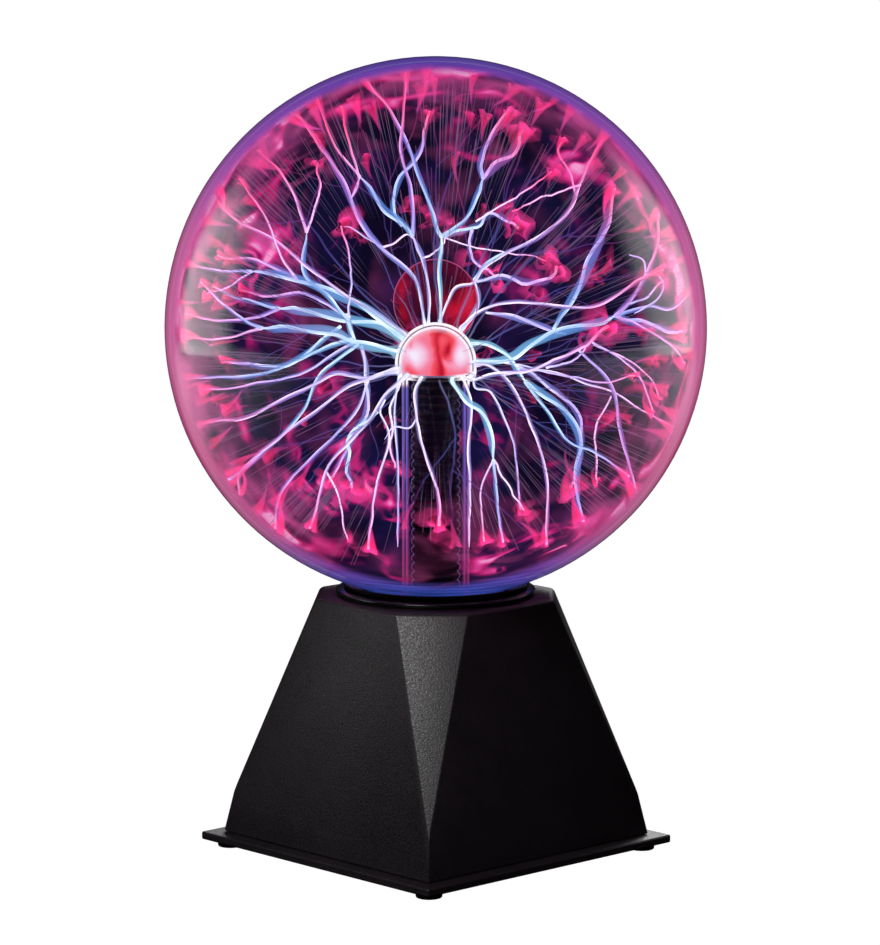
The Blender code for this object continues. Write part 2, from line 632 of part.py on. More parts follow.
def make_trimmer():
    """The preset trimmer: a square case whose slotted rotor turns about Z."""
    x, y, side, height, well_r, well = 10 * MM, -22 * MM, 9.5 * MM, 5 * MM, 3.5 * MM, 2.6 * MM
    blue = material("trimmer_case", (0.03, 0.10, 0.42), 0.4)
    case = block("trimmer_case", (side, side, height), (x, y, ON_BOARD_Z + height / 2), blue, 0.4 * MM)
    hollow = bmesh.new()
    rim = ON_BOARD_Z + height
    add_cylinder(hollow, well_r, rim - well, rim + 2 * MM, (x, y), 16)
    boolean(case, helper("trimmer_well", hollow))
    white = material("trimmer_rotor", (0.78, 0.78, 0.75), 0.4)
    low = -well + GAP
    profile = [(0, low), (well_r - GAP, low), (well_r - GAP, 0.2 * MM), (0, 0.2 * MM)]
    rotor = turned("trimmer_rotor", profile, white, sides=16, location=(x, y, rim))
    slot = bmesh.new()
    add_box(slot, (9 * MM, 0.9 * MM, 1.6 * MM), (0, 0, 0.2 * MM))
    boolean(rotor, helper("trimmer_slot", slot, parent=rotor))


# ---------------------------------------------------------------- rear panel and wiring


def panel_mount(name, x):
    """An empty on the rear face: its local Z points out of the panel and its local Y up it."""
    empty = bpy.data.objects.new(name, None)
    bpy.context.scene.collection.objects.link(empty)
    empty.location = (x, PANEL_Y, PANEL_Z)
    empty.rotation_euler = (math.pi / 2 - FACE_LEAN, 0, math.pi)
    return empty


def make_switch(mount):
    """The three-position rocker switch. Its rocker turns about the panel's X axis."""
    housing = block("switch_housing", (14 * MM, 21 * MM, 13.8 * MM), (0, 0, -5.9 * MM), nylon(),
                    parent=mount)
    bezel = bmesh.new()
    add_box(bezel, (17.4 * MM, 24.4 * MM, 1.7 * MM), (0, 0, GAP + 0.85 * MM))
    bmesh.ops.bevel(bezel, geom=bezel.edges[:], offset=0.4 * MM, segments=1, affect="EDGES")
    boolean(housing, helper("switch_bezel", bezel, parent=mount), "UNION")
    terminals = bmesh.new()
    for y in (-6, 0, 6):
        add_box(terminals, (4.8 * MM, 0.8 * MM, 5 * MM), (0, y * MM, -14.5 * MM))
    boolean(housing, helper("switch_terminals", terminals, parent=mount), "UNION")
    well = bmesh.new()
    add_box(well, (11.8 * MM, 18.8 * MM, 12 * MM), (0, 0, -2 * MM))
    boolean(housing, helper("switch_well", well, parent=mount))

    # The rocker's section: two paddles that meet in a shallow valley, over a round belly.
    pivot = -ROCKER_PIVOT_DEPTH
    half_l, crest, valley, belly = 8.2 * MM, 5.6 * MM, 4.2 * MM, 3.4 * MM
    skirt = -1.2 * MM
    section = [(half_l, skirt), (half_l, crest), (0, valley), (-half_l, crest), (-half_l, skirt)]
    section += [(belly * math.cos(math.radians(a)), skirt + belly * math.sin(math.radians(a)))
                for a in (200, 230, 270, 310, 340)]
    bm = bmesh.new()
    face = bm.faces.new([bm.verts.new((-5.5 * MM, y, z)) for y, z in section])
    grown = bmesh.ops.extrude_face_region(bm, geom=[face])["geom"]
    side = [v for v in grown if isinstance(v, bmesh.types.BMVert)]
    bmesh.ops.translate(bm, vec=(11 * MM, 0, 0), verts=side)
    add_object("switch_rocker", mesh_from(bm, "switch_rocker"),
               material("rocker_plastic", (0.02, 0.02, 0.022), 0.25), (0, 0, pivot), mount,
               smooth=False)


def make_jack(mount):
    """The round power jack: flanged barrel, centre pin and the nut behind the panel."""
    body = [
        (3.1, 1.8), (5.9, 1.8), (6.6, 1.2), (6.6, 0.3), (5.3, 0.3), (5.3, -6.5), (4.6, -6.5),
        (4.6, -13.5), (0, -13.5), (0, -9.5), (3.1, -9.5),
    ]
    turned("jack_body", [(r * MM, z * MM) for r, z in body], nylon(), sides=16, parent=mount)
    pin = [(0, -9.2), (1.05, -9.2), (1.05, 0.1), (0.6, 0.6), (0, 0.6)]
    turned("jack_pin", [(r * MM, z * MM) for r, z in pin], steel(), sides=10, parent=mount)
    nut = [(6.5, -5.4), (8.4, -5.4), (8.4, -2.9), (6.5, -2.9)]
    turned("jack_nut", [(r * MM, z * MM) for r, z in nut], steel(), sides=6, parent=mount)


def make_wiring():
    """Leads from jack and switch to the board, and the insulated lead to the electrode rod."""
    red = material("silicone_lead", (0.45, 0.02, 0.02), 0.4)
    black = material("pvc_lead", (0.02, 0.02, 0.02), 0.45)
    routes = {
        "high_voltage_lead": ([(-14, -5.5, 42.6), (-14, -6.0, 49), (-9, -5, 56), (-2, -1.4, 60),
                               (0, 0, 65.6)], 1.3, red),
        "jack_lead": ([(18, 38.2, 31.2), (17, 33.5, 30), (13, 28, 27.5), (10, 26.2, 22.4)], 1.2,
                      black),
        "switch_lead": ([(-18, 34.6, 30.6), (-16, 31, 29.6), (-12, 27.4, 27), (-10, 26.2, 22.4)],
                        1.2, black),
    }
    for name, (points, radius, finish) in routes.items():
        wire(name, [Vector(p) * MM for p in points], radius * MM, finish)


def main():
    for obj in list(bpy.data.objects):
        bpy.data.objects.remove(obj)
    switch_mount = panel_mount("switch_mount", SWITCH_X)
    jack_mount = panel_mount("jack_mount", JACK_X)
    make_globe()
    make_stem()
    make_electrode()
    make_neck_mount()
    make_shell(switch_mount, jack_mount)
    make_bottom_plate()
    make_board()
    make_transformer()
    make_power_stage()
    make_small_parts()
    make_trimmer()
    make_switch(switch_mount)
    make_jack(jack_mount)
    make_wiring()


main()
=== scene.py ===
"""Visual model of a desk plasma ball: glass globe, discharge, electrode stem and pyramid stand.

Everything is in metres in the CAD part's own frame: +Z up, the origin on the floor under the
globe, the rear panel towards +Y. Each sub-assembly is a class that holds its sizes, builds its
meshes and dresses them.
"""

import logging
import math
import random
from dataclasses import dataclass, field
from enum import Enum
from typing import Any

import bmesh
import bpy
from mathutils import Matrix, Vector, noise


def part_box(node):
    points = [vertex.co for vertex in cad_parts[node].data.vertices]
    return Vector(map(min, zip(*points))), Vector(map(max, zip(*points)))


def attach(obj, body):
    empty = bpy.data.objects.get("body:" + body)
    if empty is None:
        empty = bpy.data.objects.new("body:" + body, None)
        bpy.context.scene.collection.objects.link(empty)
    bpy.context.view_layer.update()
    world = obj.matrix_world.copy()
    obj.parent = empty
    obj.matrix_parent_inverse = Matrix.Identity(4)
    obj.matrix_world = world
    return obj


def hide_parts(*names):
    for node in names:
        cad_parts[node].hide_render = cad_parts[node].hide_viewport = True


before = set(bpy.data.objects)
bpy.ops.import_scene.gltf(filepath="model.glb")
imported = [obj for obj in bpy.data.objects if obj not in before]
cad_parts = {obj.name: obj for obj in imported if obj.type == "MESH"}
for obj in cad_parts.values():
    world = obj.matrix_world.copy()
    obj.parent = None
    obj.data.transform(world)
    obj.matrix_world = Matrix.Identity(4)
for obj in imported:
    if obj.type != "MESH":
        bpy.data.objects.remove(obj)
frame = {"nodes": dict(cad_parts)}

LOG = logging.getLogger("plasma_ball")
MM = 0.001
STAND_BODY = "stand_and_globe"
ROCKER_BODY = "rocker"
CORNERS = ("rear_right", "rear_left", "front_left", "front_right")
CREASE = math.radians(25)
WHITE = (1.0, 1.0, 1.0, 1.0)

Colour = tuple[float, float, float, float]
Source = bpy.types.Node | bpy.types.NodeSocket


# ---------------------------------------------------------------- colours and nodes


def linear(hex_colour: str) -> Colour:
    """Turns an sRGB hex colour into linear RGBA.

    Args:
        hex_colour: six hex digits after a hash sign.

    Returns:
        The linear red, green and blue, and an alpha of 1.
    """
    parts = [int(hex_colour[i : i + 2], 16) / 255 for i in (1, 3, 5)]
    flat = [c / 12.92 if c <= 0.04045 else ((c + 0.055) / 1.055) ** 2.4 for c in parts]
    return (flat[0], flat[1], flat[2], 1.0)


def add_node(
    tree: bpy.types.NodeTree,
    kind: str,
    inputs: dict[Any, Any] | None = None,
    stops: tuple[tuple[float, str], ...] = (),
    **settings: Any,
) -> bpy.types.Node:
    """Adds a node with its settings and its links.

    Args:
        tree: the material's or the world's node tree.
        kind: the node's type without the ShaderNode prefix.
        inputs: values, output sockets, or nodes, which stand for their first output in use,
            by the name or the index of the input.
        stops: places and hex colours of a colour ramp.
        **settings: properties of the node.

    Returns:
        The new node.
    """
    made = tree.nodes.new("ShaderNode" + kind)
    for key, value in settings.items():
        setattr(made, key, value)
    for key, value in (inputs or {}).items():
        if isinstance(value, bpy.types.Node):
            value = next(socket for socket in value.outputs if socket.enabled)
        if isinstance(value, bpy.types.NodeSocket):
            tree.links.new(value, made.inputs[key])
        else:
            made.inputs[key].default_value = value
    if stops:
        ramp = made.color_ramp
        while len(ramp.elements) < len(stops):
            ramp.elements.new(0.5)
        for element, (place, colour) in zip(ramp.elements, stops):
            element.position = place
            element.color = linear(colour)
    return made


def fresh_material(name: str) -> tuple[bpy.types.Material, bpy.types.NodeTree]:
    """Makes an empty node material.

    Args:
        name: the finish's name.

    Returns:
        The material and its empty node tree.
    """
    made = bpy.data.materials.new(name)
    made.use_nodes = True
    made.node_tree.nodes.clear()
    return made, made.node_tree


def put_out(tree: bpy.types.NodeTree, shader: Source) -> None:
    """Links a shader to the material's output."""
    add_node(tree, "OutputMaterial", {"Surface": shader})


def glass_coat(
    tree: bpy.types.NodeTree, under: Source, roughness: float, ior: float = 1.45
) -> bpy.types.Node:
    """Lays glass's own mirror over a shader, on the faces that look at the eye.

    Args:
        tree: the material's node tree.
        under: the shader that is seen through the glass.
        roughness: the mirror's roughness.
        ior: the glass's index of refraction.

    Returns:
        The mix of the shader and its mirror.
    """
    mirror = add_node(tree, "BsdfGlossy", {"Roughness": roughness})
    share = add_node(tree, "Fresnel", {"IOR": ior})
    behind = add_node(tree, "NewGeometry").outputs["Backfacing"]
    front = add_node(tree, "Math", {0: 1.0, 1: behind}, operation="SUBTRACT")
    seen = add_node(tree, "Math", {0: share, 1: front}, operation="MULTIPLY")
    return add_node(tree, "MixShader", {"Fac": seen, 1: under, 2: mirror})


# ---------------------------------------------------------------- solid finishes


@dataclass(frozen=True)
class Moulded:
    """A moulded plastic or rubber: its tool's fine grain, uneven tint and polished edges."""

    name: str
    colour: str
    tint: str
    roughness: float = 0.45
    grain_mm: float = 0.5
    depth_mm: float = 0.05
    ior: float = 1.5
    spread: float = 0.12

    def build(self) -> bpy.types.Material:
        """Builds the material.

        Returns:
            The material, with colour, roughness and bump from its grain.
        """
        made, tree = fresh_material(self.name)
        place = add_node(tree, "TexCoord").outputs["Object"]
        grain = add_node(
            tree, "TexNoise",
            {"Vector": place, "Scale": 0.8 / (self.grain_mm * MM), "Roughness": 0.6},
        )
        cloud = add_node(
            tree, "TexNoise", {"Vector": place, "Scale": 60.0, "Detail": 4.0, "Roughness": 0.6}
        )
        shade = add_node(tree, "ValToRGB", {"Fac": cloud}, ((0.32, self.colour), (0.72, self.tint)))
        speck = add_node(
            tree, "Mix",
            {0: grain, 6: linear(self.colour), 7: shade}, data_type="RGBA",
        )
        rough = add_node(
            tree, "MapRange",
            {"Value": grain, "From Min": 0.3, "From Max": 0.7,
             "To Min": self.roughness - self.spread, "To Max": self.roughness + self.spread},
        )
        bump = add_node(
            tree, "Bump", {"Height": grain, "Strength": 0.6, "Distance": self.depth_mm * MM}
        )
        shader = add_node(
            tree, "BsdfPrincipled",
            {"Base Color": speck, "Roughness": rough, "Normal": bump, "IOR": self.ior},
        )
        put_out(tree, shader)
        return made


@dataclass(frozen=True)
class Metal:
    """A bare or plated metal: streaks of its drawing or rolling, and a cloudy dull film."""

    name: str
    colour: str
    dull: str
    roughness: float = 0.3
    streak_mm: float = 0.35
    stretch: tuple[float, float, float] = (1.0, 1.0, 0.08)

    def build(self) -> bpy.types.Material:
        """Builds the material.

        Returns:
            The material, with the streaks in colour and roughness.
        """
        made, tree = fresh_material(self.name)
        place = add_node(tree, "TexCoord").outputs["Object"]
        drawn = add_node(tree, "Mapping", {"Vector": place, "Scale": self.stretch})
        streak = add_node(tree, "TexNoise", {"Vector": drawn, "Scale": 0.5 / (self.streak_mm * MM)})
        film = add_node(tree, "TexNoise", {"Vector": place, "Scale": 180.0, "Detail": 3.0})
        shade = add_node(tree, "ValToRGB", {"Fac": film}, ((0.35, self.dull), (0.6, self.colour)))
        rough = add_node(
            tree, "MapRange",
            {"Value": streak, "From Min": 0.3, "From Max": 0.7,
             "To Min": self.roughness * 0.75, "To Max": self.roughness * 1.3},
        )
        bump = add_node(tree, "Bump", {"Height": streak, "Strength": 0.3, "Distance": 0.02 * MM})
        shader = add_node(
            tree, "BsdfPrincipled",
            {"Base Color": shade, "Metallic": 1.0, "Roughness": rough, "Normal": bump},
        )
        put_out(tree, shader)
        return made


class Finish(Enum):
    """The solid finishes of the stand and of the works inside it."""

    # Spark-eroded ABS: a fine leathery grain that scatters light to grey where light meets it.
    ABS = Moulded("spark_eroded_abs", "#110c11", "#221a22", 0.46, 0.55, 0.16)
    # Collar of polished ABS: black, with clear reflections of the globe above it.
    COLLAR = Moulded("polished_abs", "#0b090b", "#151215", 0.2, 0.9, 0.01, spread=0.06)
    # Black rubber: dull, slightly dusty.
    RUBBER = Moulded("moulded_rubber", "#0f0f10", "#1d1c1d", 0.78, 0.35, 0.04, 1.52)
    # Black nylon: satin, with faint flow marks.
    NYLON = Moulded("moulded_nylon", "#0c0c0d", "#19181b", 0.42, 0.4, 0.03, 1.53)
    # Gasket rubber: wiped clean, it takes a glint of the lit globe.
    GASKET = Moulded("satin_rubber", "#0b0a0b", "#161416", 0.32, 0.6, 0.02, 1.52, 0.08)
    # Switch rocker: a glossier moulding than its frame.
    ROCKER = Moulded("glossy_rocker", "#09090a", "#121214", 0.24, 0.7, 0.01)
    # Silicone sleeve: milky and soft.
    SILICONE = Moulded("silicone_rubber", "#cfcfc8", "#e2e1da", 0.6, 0.6, 0.02, 1.41)
    # Fibreglass board under green solder mask: the weave shows as faint cloud.
    BOARD = Moulded("solder_mask", "#0e4a26", "#1a6334", 0.35, 0.8, 0.02)
    EPOXY = Moulded("moulded_epoxy", "#151517", "#232325", 0.45, 0.25, 0.02)
    SLEEVE = Moulded("shrunk_sleeve", "#1b2440", "#26335a", 0.3, 0.9, 0.01)
    FILM_CASE = Moulded("film_capacitor_case", "#b4761c", "#cb8c2c", 0.35, 0.9, 0.01)
    LACQUER = Moulded("resistor_lacquer", "#b99a6b", "#c9ac80", 0.4, 0.5, 0.01)
    HEADER = Moulded("header_nylon", "#ddd9cb", "#e9e6da", 0.45, 0.6, 0.01, 1.53)
    TRIMMER = Moulded("trimmer_case", "#1c4f9c", "#2a62b4", 0.4, 0.6, 0.01)
    ROTOR = Moulded("trimmer_rotor", "#d6d4cb", "#e6e4dc", 0.4, 0.6, 0.01)
    FERRITE = Moulded("sintered_ferrite", "#2b2b2e", "#3b3b3f", 0.5, 0.3, 0.03)
    HV_LEAD = Moulded("silicone_lead", "#8f1712", "#a82019", 0.42, 0.8, 0.01, 1.41)
    PVC = Moulded("pvc_lead", "#151515", "#202020", 0.4, 0.8, 0.01, 1.53)
    ZINC = Metal("zinc_plated_steel", "#c4c8cc", "#9ea3a8", 0.3)
    BRASS = Metal("drawn_brass", "#d8b25c", "#a98440", 0.26)
    COPPER = Metal("enamelled_copper", "#c8743c", "#9c5226", 0.28, 0.3, (0.05, 0.05, 1.0))
    ALUMINIUM = Metal("extruded_aluminium", "#cfd2d4", "#adb0b3", 0.38)


_built: dict[str, bpy.types.Material] = {}


def finish(kind: Finish) -> bpy.types.Material:
    """Gives a finish's material, built once."""
    if kind.name not in _built:
        _built[kind.name] = kind.value.build()
    return _built[kind.name]


def dress(obj: bpy.types.Object, material: bpy.types.Material) -> None:
    """Gives a piece or a CAD node its material, on every slot.

    Args:
        obj: the piece or CAD node.
        material: what it is dressed in.
    """
    if not obj.material_slots:
        obj.data.materials.append(material)
    for place in obj.material_slots:
        place.material = material


# ---------------------------------------------------------------- glass and glow finishes


@dataclass(frozen=True)
class GlobeGlass:
    """Blown soda-lime glass, 2 mm: clear, and mirrors at a slant. A painted glow lies round its
    outline, violet on top, rose at the sides and blue over the neck, with faint painted streaks:
    it stands in for the discharge's light carried round in the wall."""

    centre_z: float
    radius: float

    def build(self) -> bpy.types.Material:
        """Builds the glass.

        Returns:
            The material of the globe's wall.
        """
        made, tree = fresh_material("blown_glass")
        place = add_node(tree, "TexCoord").outputs["Object"]
        height = add_node(tree, "SeparateXYZ", {"Vector": place}).outputs["Z"]
        level = add_node(
            tree, "MapRange",
            {"Value": height, "From Min": self.centre_z - self.radius,
             "From Max": self.centre_z + self.radius},
        )
        # Colours of the painted glow round the outline, by height: blue over the neck, rose at the
        # sides, violet on top.
        wall = add_node(
            tree, "ValToRGB", {"Fac": level},
            ((0.0, "#152a78"), (0.03, "#2f50b8"), (0.07, "#6c48ac"), (0.14, "#b4488c"),
             (0.28, "#cc4a8a"), (0.46, "#dc70a8"), (0.68, "#d068a8"), (0.84, "#9850b4"),
             (1.0, "#5c40b0")),
        )
        ripple = add_node(tree, "TexNoise", {"Vector": place, "Scale": 24.0})
        # Painted light: the glow grows towards the outline, unevenly.
        slant = add_node(tree, "LayerWeight").outputs["Facing"]
        painted_edge_glow = add_node(
            tree, "MapRange",
            {"Value": slant, "From Min": 0.70, "From Max": 0.84, "To Max": 0.96},
            interpolation_type="SMOOTHSTEP",
        )
        uneven = add_node(
            tree, "MapRange",
            {"Value": ripple, "From Min": 0.35, "From Max": 0.65, "To Min": 0.86},
        )
        amount = add_node(tree, "Math", {0: painted_edge_glow, 1: uneven}, operation="MULTIPLY")
        # Painted streaks: faint rings in the glow's strength round the globe.
        ring = add_node(tree, "Mapping", {"Vector": place, "Scale": (30.0, 30.0, 900.0)})
        drawn = add_node(tree, "TexNoise", {"Vector": ring, "Scale": 1.0})
        painted_streaks = add_node(
            tree, "MapRange",
            {"Value": drawn, "From Min": 0.35, "From Max": 0.65, "To Min": 0.6, "To Max": 1.4},
        )
        upper = add_node(tree, "MapRange", {"Value": level, "From Min": 0.05, "From Max": 0.12})
        even = add_node(tree, "Mix", {0: upper, 2: painted_streaks, 3: 1.12}, data_type="FLOAT")
        glow = add_node(tree, "Emission", {"Color": wall, "Strength": even})
        clear = add_node(tree, "BsdfTransparent", {"Color": (0.97, 0.97, 0.985, 1.0)})
        clear_with_painted_glow = add_node(tree, "MixShader", {"Fac": amount, 1: clear, 2: glow})
        put_out(tree, glass_coat(tree, clear_with_painted_glow, 0.08))
        return made


@dataclass(frozen=True)
class GlowLining:
    """The glow that lies on the inner wall: rose wisps and maroon clouds over painted shade, a near
    black violet backdrop on the far wall for the unlit inside of the globe. The near wall lets the
    eye in and carries only thin wisps."""

    centre_z: float
    radius: float

    def build(self) -> bpy.types.Material:
        """Builds the lining.

        Returns:
            The material of the inner wall's glow and its painted dark backdrop.
        """
        made, tree = fresh_material("wall_glow")
        place = add_node(tree, "TexCoord").outputs["Object"]
        size = 1 / self.radius
        unit = add_node(
            tree, "Mapping",
            {"Vector": place, "Location": (0.0, 0.0, -self.centre_z * size),
             "Scale": (size, size, size)},
        )
        swirl = add_node(tree, "TexNoise", {"Vector": unit, "Scale": 1.7}).outputs["Color"]
        pushed = add_node(
            tree, "VectorMath", {0: swirl, 1: (0.9, 0.9, 0.9), 2: unit}, operation="MULTIPLY_ADD"
        )
        fold = add_node(
            tree, "TexNoise",
            {"Vector": pushed, "Scale": 3.1, "Detail": 2.5, "Distortion": 0.4},
        )
        offset = add_node(tree, "Math", {0: fold, 1: 0.5}, operation="SUBTRACT")
        distance = add_node(tree, "Math", {0: offset}, operation="ABSOLUTE")
        slant = add_node(tree, "LayerWeight").outputs["Facing"]
        wisp = add_node(
            tree, "MapRange",
            {"Value": distance, "From Max": 0.11, "To Min": 0.8, "To Max": 0.0},
            interpolation_type="SMOOTHERSTEP",
        )
        region = add_node(tree, "TexNoise", {"Vector": unit, "Scale": 2.6, "Roughness": 0.6})
        patch = add_node(
            tree, "MapRange",
            {"Value": region, "From Min": 0.50, "From Max": 0.68},
            interpolation_type="SMOOTHSTEP",
        )
        blob = add_node(tree, "TexNoise", {"Vector": pushed, "Scale": 4.6, "Detail": 1.0})
        cloud = add_node(
            tree, "MapRange",
            {"Value": blob, "From Min": 0.55, "From Max": 0.82, "To Max": 0.75},
            interpolation_type="SMOOTHSTEP",
        )
        inward = add_node(
            tree, "MapRange", {"Value": slant, "From Min": 0.02, "From Max": 0.34, "To Min": 0.4},
        )
        wisps = add_node(tree, "Math", {0: wisp, 1: patch}, operation="MULTIPLY")
        thin = add_node(tree, "Math", {0: wisps, 1: inward}, operation="MULTIPLY")
        calm = add_node(tree, "Math", {0: cloud, 1: inward}, operation="MULTIPLY")
        heat = add_node(tree, "Math", {0: thin, 1: calm}, operation="ADD", use_clamp=True)
        band = add_node(
            tree, "MapRange",
            {"Value": slant, "From Min": 0.36, "From Max": 0.94, "To Max": 0.85},
            interpolation_type="SMOOTHSTEP",
        )
        flame = add_node(
            tree, "MapRange",
            {"Value": blob, "From Min": 0.36, "From Max": 0.6, "To Min": 0.08},
        )
        level = add_node(tree, "SeparateXYZ", {"Vector": unit}).outputs["Z"]
        above = add_node(
            tree, "MapRange", {"Value": level, "From Min": -0.97, "From Max": -0.84},
            interpolation_type="SMOOTHSTEP",
        )
        licks = add_node(tree, "Math", {0: band, 1: flame}, operation="MULTIPLY")
        limb = add_node(tree, "Math", {0: licks, 1: above}, operation="MULTIPLY")
        warm = add_node(tree, "Math", {0: heat, 1: limb}, operation="ADD", use_clamp=True)
        # The ramp's near-black foot is painted shade: the dark backdrop between the wisps.
        rose = add_node(
            tree, "ValToRGB", {"Fac": warm},
            ((0.0, "#0e0822"), (0.15, "#240a32"), (0.34, "#6e104a"), (0.58, "#c41e6c"),
             (0.8, "#f04ea2"), (1.0, "#ffa4d6")),
        )
        # Painted shade: near black with faint navy patches, for the unlit inside of the globe.
        painted_dark = add_node(tree, "ValToRGB", {"Fac": region}, ((0.4, "#000000"), (0.66, "#0b0d30")))
        gas = add_node(tree, "Mix", {0: 1.0, 6: rose, 7: painted_dark}, data_type="RGBA", blend_type="ADD")
        far = add_node(tree, "Emission", {"Color": gas})
        raised = add_node(
            tree, "MapRange", {"Value": level, "From Min": -0.9, "From Max": -0.55},
            interpolation_type="SMOOTHSTEP",
        )
        near_limb = add_node(tree, "Math", {0: limb, 1: raised}, operation="MULTIPLY")
        near_amount = add_node(
            tree, "Math", {0: heat, 1: 0.25, 2: near_limb}, operation="MULTIPLY_ADD",
            use_clamp=True,
        )
        clear = add_node(tree, "BsdfTransparent")
        film = add_node(tree, "Emission", {"Color": linear("#ee62b0"), "Strength": 0.9})
        near = add_node(tree, "MixShader", {"Fac": near_amount, 1: clear, 2: film})
        # Seen from inside, the far wall is opaque, so its painted dark backdrop hides what lies
        # behind the globe.
        inside = add_node(tree, "NewGeometry").outputs["Backfacing"]
        shader = add_node(tree, "MixShader", {"Fac": inside, 1: near, 2: far})
        put_out(tree, shader)
        return made


class Tint(Enum):
    """Colours of a streamer from the electrode, where it is hottest, to the glass."""

    ICE = (
        (0.0, "#fbffff"), (0.2, "#effdff"), (0.48, "#d3edfb"), (0.72, "#b7c2f8"),
        (0.9, "#dba6ee"), (1.0, "#ff77ac"),
    )
    VIOLET = (
        (0.0, "#fffaff"), (0.25, "#ece2ff"), (0.52, "#cdbdf8"), (0.78, "#e0a4e4"), (1.0, "#ff6ea6"),
    )
    ROSE = (
        (0.0, "#ffffff"), (0.3, "#fdeefc"), (0.6, "#f2d4fb"), (0.84, "#f4a6e0"), (1.0, "#ff5590"),
    )


@dataclass(frozen=True)
class StreamerGlow:
    """Ionised neon and xenon: a thread that glows in its own tint and flickers along its way."""

    tint: Tint
    strength: float = 1.62

    def build(self) -> bpy.types.Material:
        """Builds the opaque thread's glow.

        Returns:
            The material, which reads how far along its thread each point is.
        """
        made, tree = fresh_material(f"streamer_{self.tint.name.lower()}")
        along = add_node(tree, "Attribute", attribute_name="along").outputs["Fac"]
        body = add_node(tree, "ValToRGB", {"Fac": along}, self.tint.value)
        place = add_node(tree, "TexCoord").outputs["Object"]
        flicker = add_node(tree, "TexNoise", {"Vector": place, "Scale": 120.0})
        strength = add_node(
            tree, "MapRange",
            {"Value": flicker, "From Min": 0.3, "From Max": 0.7,
             "To Min": self.strength * 0.8, "To Max": self.strength * 1.15},
        )
        put_out(tree, add_node(tree, "Emission", {"Color": body, "Strength": strength}))
        return made


@dataclass(frozen=True)
class HaloGlow:
    """The soft glow round a thread, or a funnel of glow where a thread lands on the glass."""

    name: str
    stops: tuple[tuple[float, str], ...]
    strength: float = 1.0
    softness: float = 2.2
    heart: float = 0.0

    def build(self) -> bpy.types.Material:
        """Builds the glow.

        Returns:
            A see-through emission that fades towards the tube's outline.
        """
        made, tree = fresh_material(self.name)
        along = add_node(tree, "Attribute", attribute_name="along").outputs["Fac"]
        power = add_node(tree, "Attribute", attribute_name="power").outputs["Fac"]
        colour = add_node(tree, "ValToRGB", {"Fac": along}, self.stops)
        slant = add_node(tree, "LayerWeight").outputs["Facing"]
        level = add_node(tree, "Math", {0: 1.0, 1: slant}, operation="SUBTRACT")
        soft = add_node(tree, "Math", {0: level, 1: self.softness}, operation="POWER")
        amount = add_node(tree, "Math", {0: soft, 1: power}, operation="MULTIPLY", use_clamp=True)
        strength = add_node(
            tree, "Math", {0: level, 1: self.heart, 2: self.strength}, operation="MULTIPLY_ADD"
        )
        glow = add_node(tree, "Emission", {"Color": colour, "Strength": strength})
        clear = add_node(tree, "BsdfTransparent")
        put_out(tree, add_node(tree, "MixShader", {"Fac": amount, 1: clear, 2: glow}))
        return made


@dataclass(frozen=True)
class ElectrodeGlow:
    """The conductive lining of the bulb in the discharge's coral glow, with painted shade in a dark
    fold between two pale pools of painted highlight, and a painted near-white rim.
    """

    centre_z: float
    azimuth: float

    def build(self) -> bpy.types.Material:
        """Builds the coral glow.

        Returns:
            The opaque glowing material of the bulb's lining.
        """
        made, tree = fresh_material("electrode_glow")
        place = add_node(tree, "TexCoord").outputs["Object"]
        local = add_node(
            tree, "Mapping",
            {"Vector": place, "Location": (0.0, 0.0, -self.centre_z),
             "Rotation": (0.0, 0.0, -math.radians(self.azimuth))},
        )
        warp = add_node(
            tree, "TexNoise", {"Vector": place, "Scale": 75.0, "Detail": 1.5, "Distortion": 0.8}
        )
        axes = add_node(tree, "SeparateXYZ", {"Vector": local}).outputs
        bend = add_node(tree, "Math", {0: warp, 1: 0.012, 2: -0.0068}, operation="MULTIPLY_ADD")
        across = add_node(tree, "Math", {0: axes["X"], 1: bend}, operation="ADD")
        aside = add_node(tree, "Math", {0: across}, operation="ABSOLUTE")
        # Painted shade: the glow darkens in a fold down the middle, turned across the view.
        fold = add_node(
            tree, "MapRange", {"Value": aside, "From Max": 0.0026, "To Max": 0.34},
            interpolation_type="SMOOTHSTEP",
        )
        # Painted highlights: two pale pools, one on each side of the fold.
        lobe = add_node(tree, "Math", {0: aside, 1: 0.0082}, operation="SUBTRACT")
        height = add_node(tree, "Math", {0: axes["Z"], 1: 0.004}, operation="SUBTRACT")
        offset = add_node(tree, "CombineXYZ", {"X": lobe, "Y": height})
        away = add_node(tree, "VectorMath", {0: offset}, operation="LENGTH")
        painted_highlight = add_node(
            tree, "MapRange", {"Value": away, "From Max": 0.0078, "To Min": 0.4, "To Max": 0.0},
            interpolation_type="SMOOTHSTEP",
        )
        grain = add_node(tree, "Math", {0: warp, 1: 0.5, 2: fold}, operation="MULTIPLY_ADD")
        heat = add_node(tree, "Math", {0: grain, 1: painted_highlight}, operation="ADD")
        coral = add_node(
            tree, "ValToRGB", {"Fac": heat},
            ((0.2, "#c01830"), (0.36, "#ee3c4a"), (0.54, "#ff5866"), (0.68, "#ff8ca4"),
             (0.84, "#ffc8dc"), (1.0, "#fff2f8")),
        )
        # Painted highlight: the rim turns near white towards the outline.
        slant = add_node(tree, "LayerWeight", {"Blend": 0.4}).outputs["Facing"]
        painted_rim_highlight = add_node(
            tree, "MapRange", {"Value": slant, "From Min": 0.35, "From Max": 0.8, "To Max": 0.95}
        )
        colour = add_node(tree, "Mix", {0: painted_rim_highlight, 6: coral, 7: linear("#fff0f6")}, data_type="RGBA")
        put_out(tree, add_node(tree, "Emission", {"Color": colour, "Strength": 1.25}))
        return made


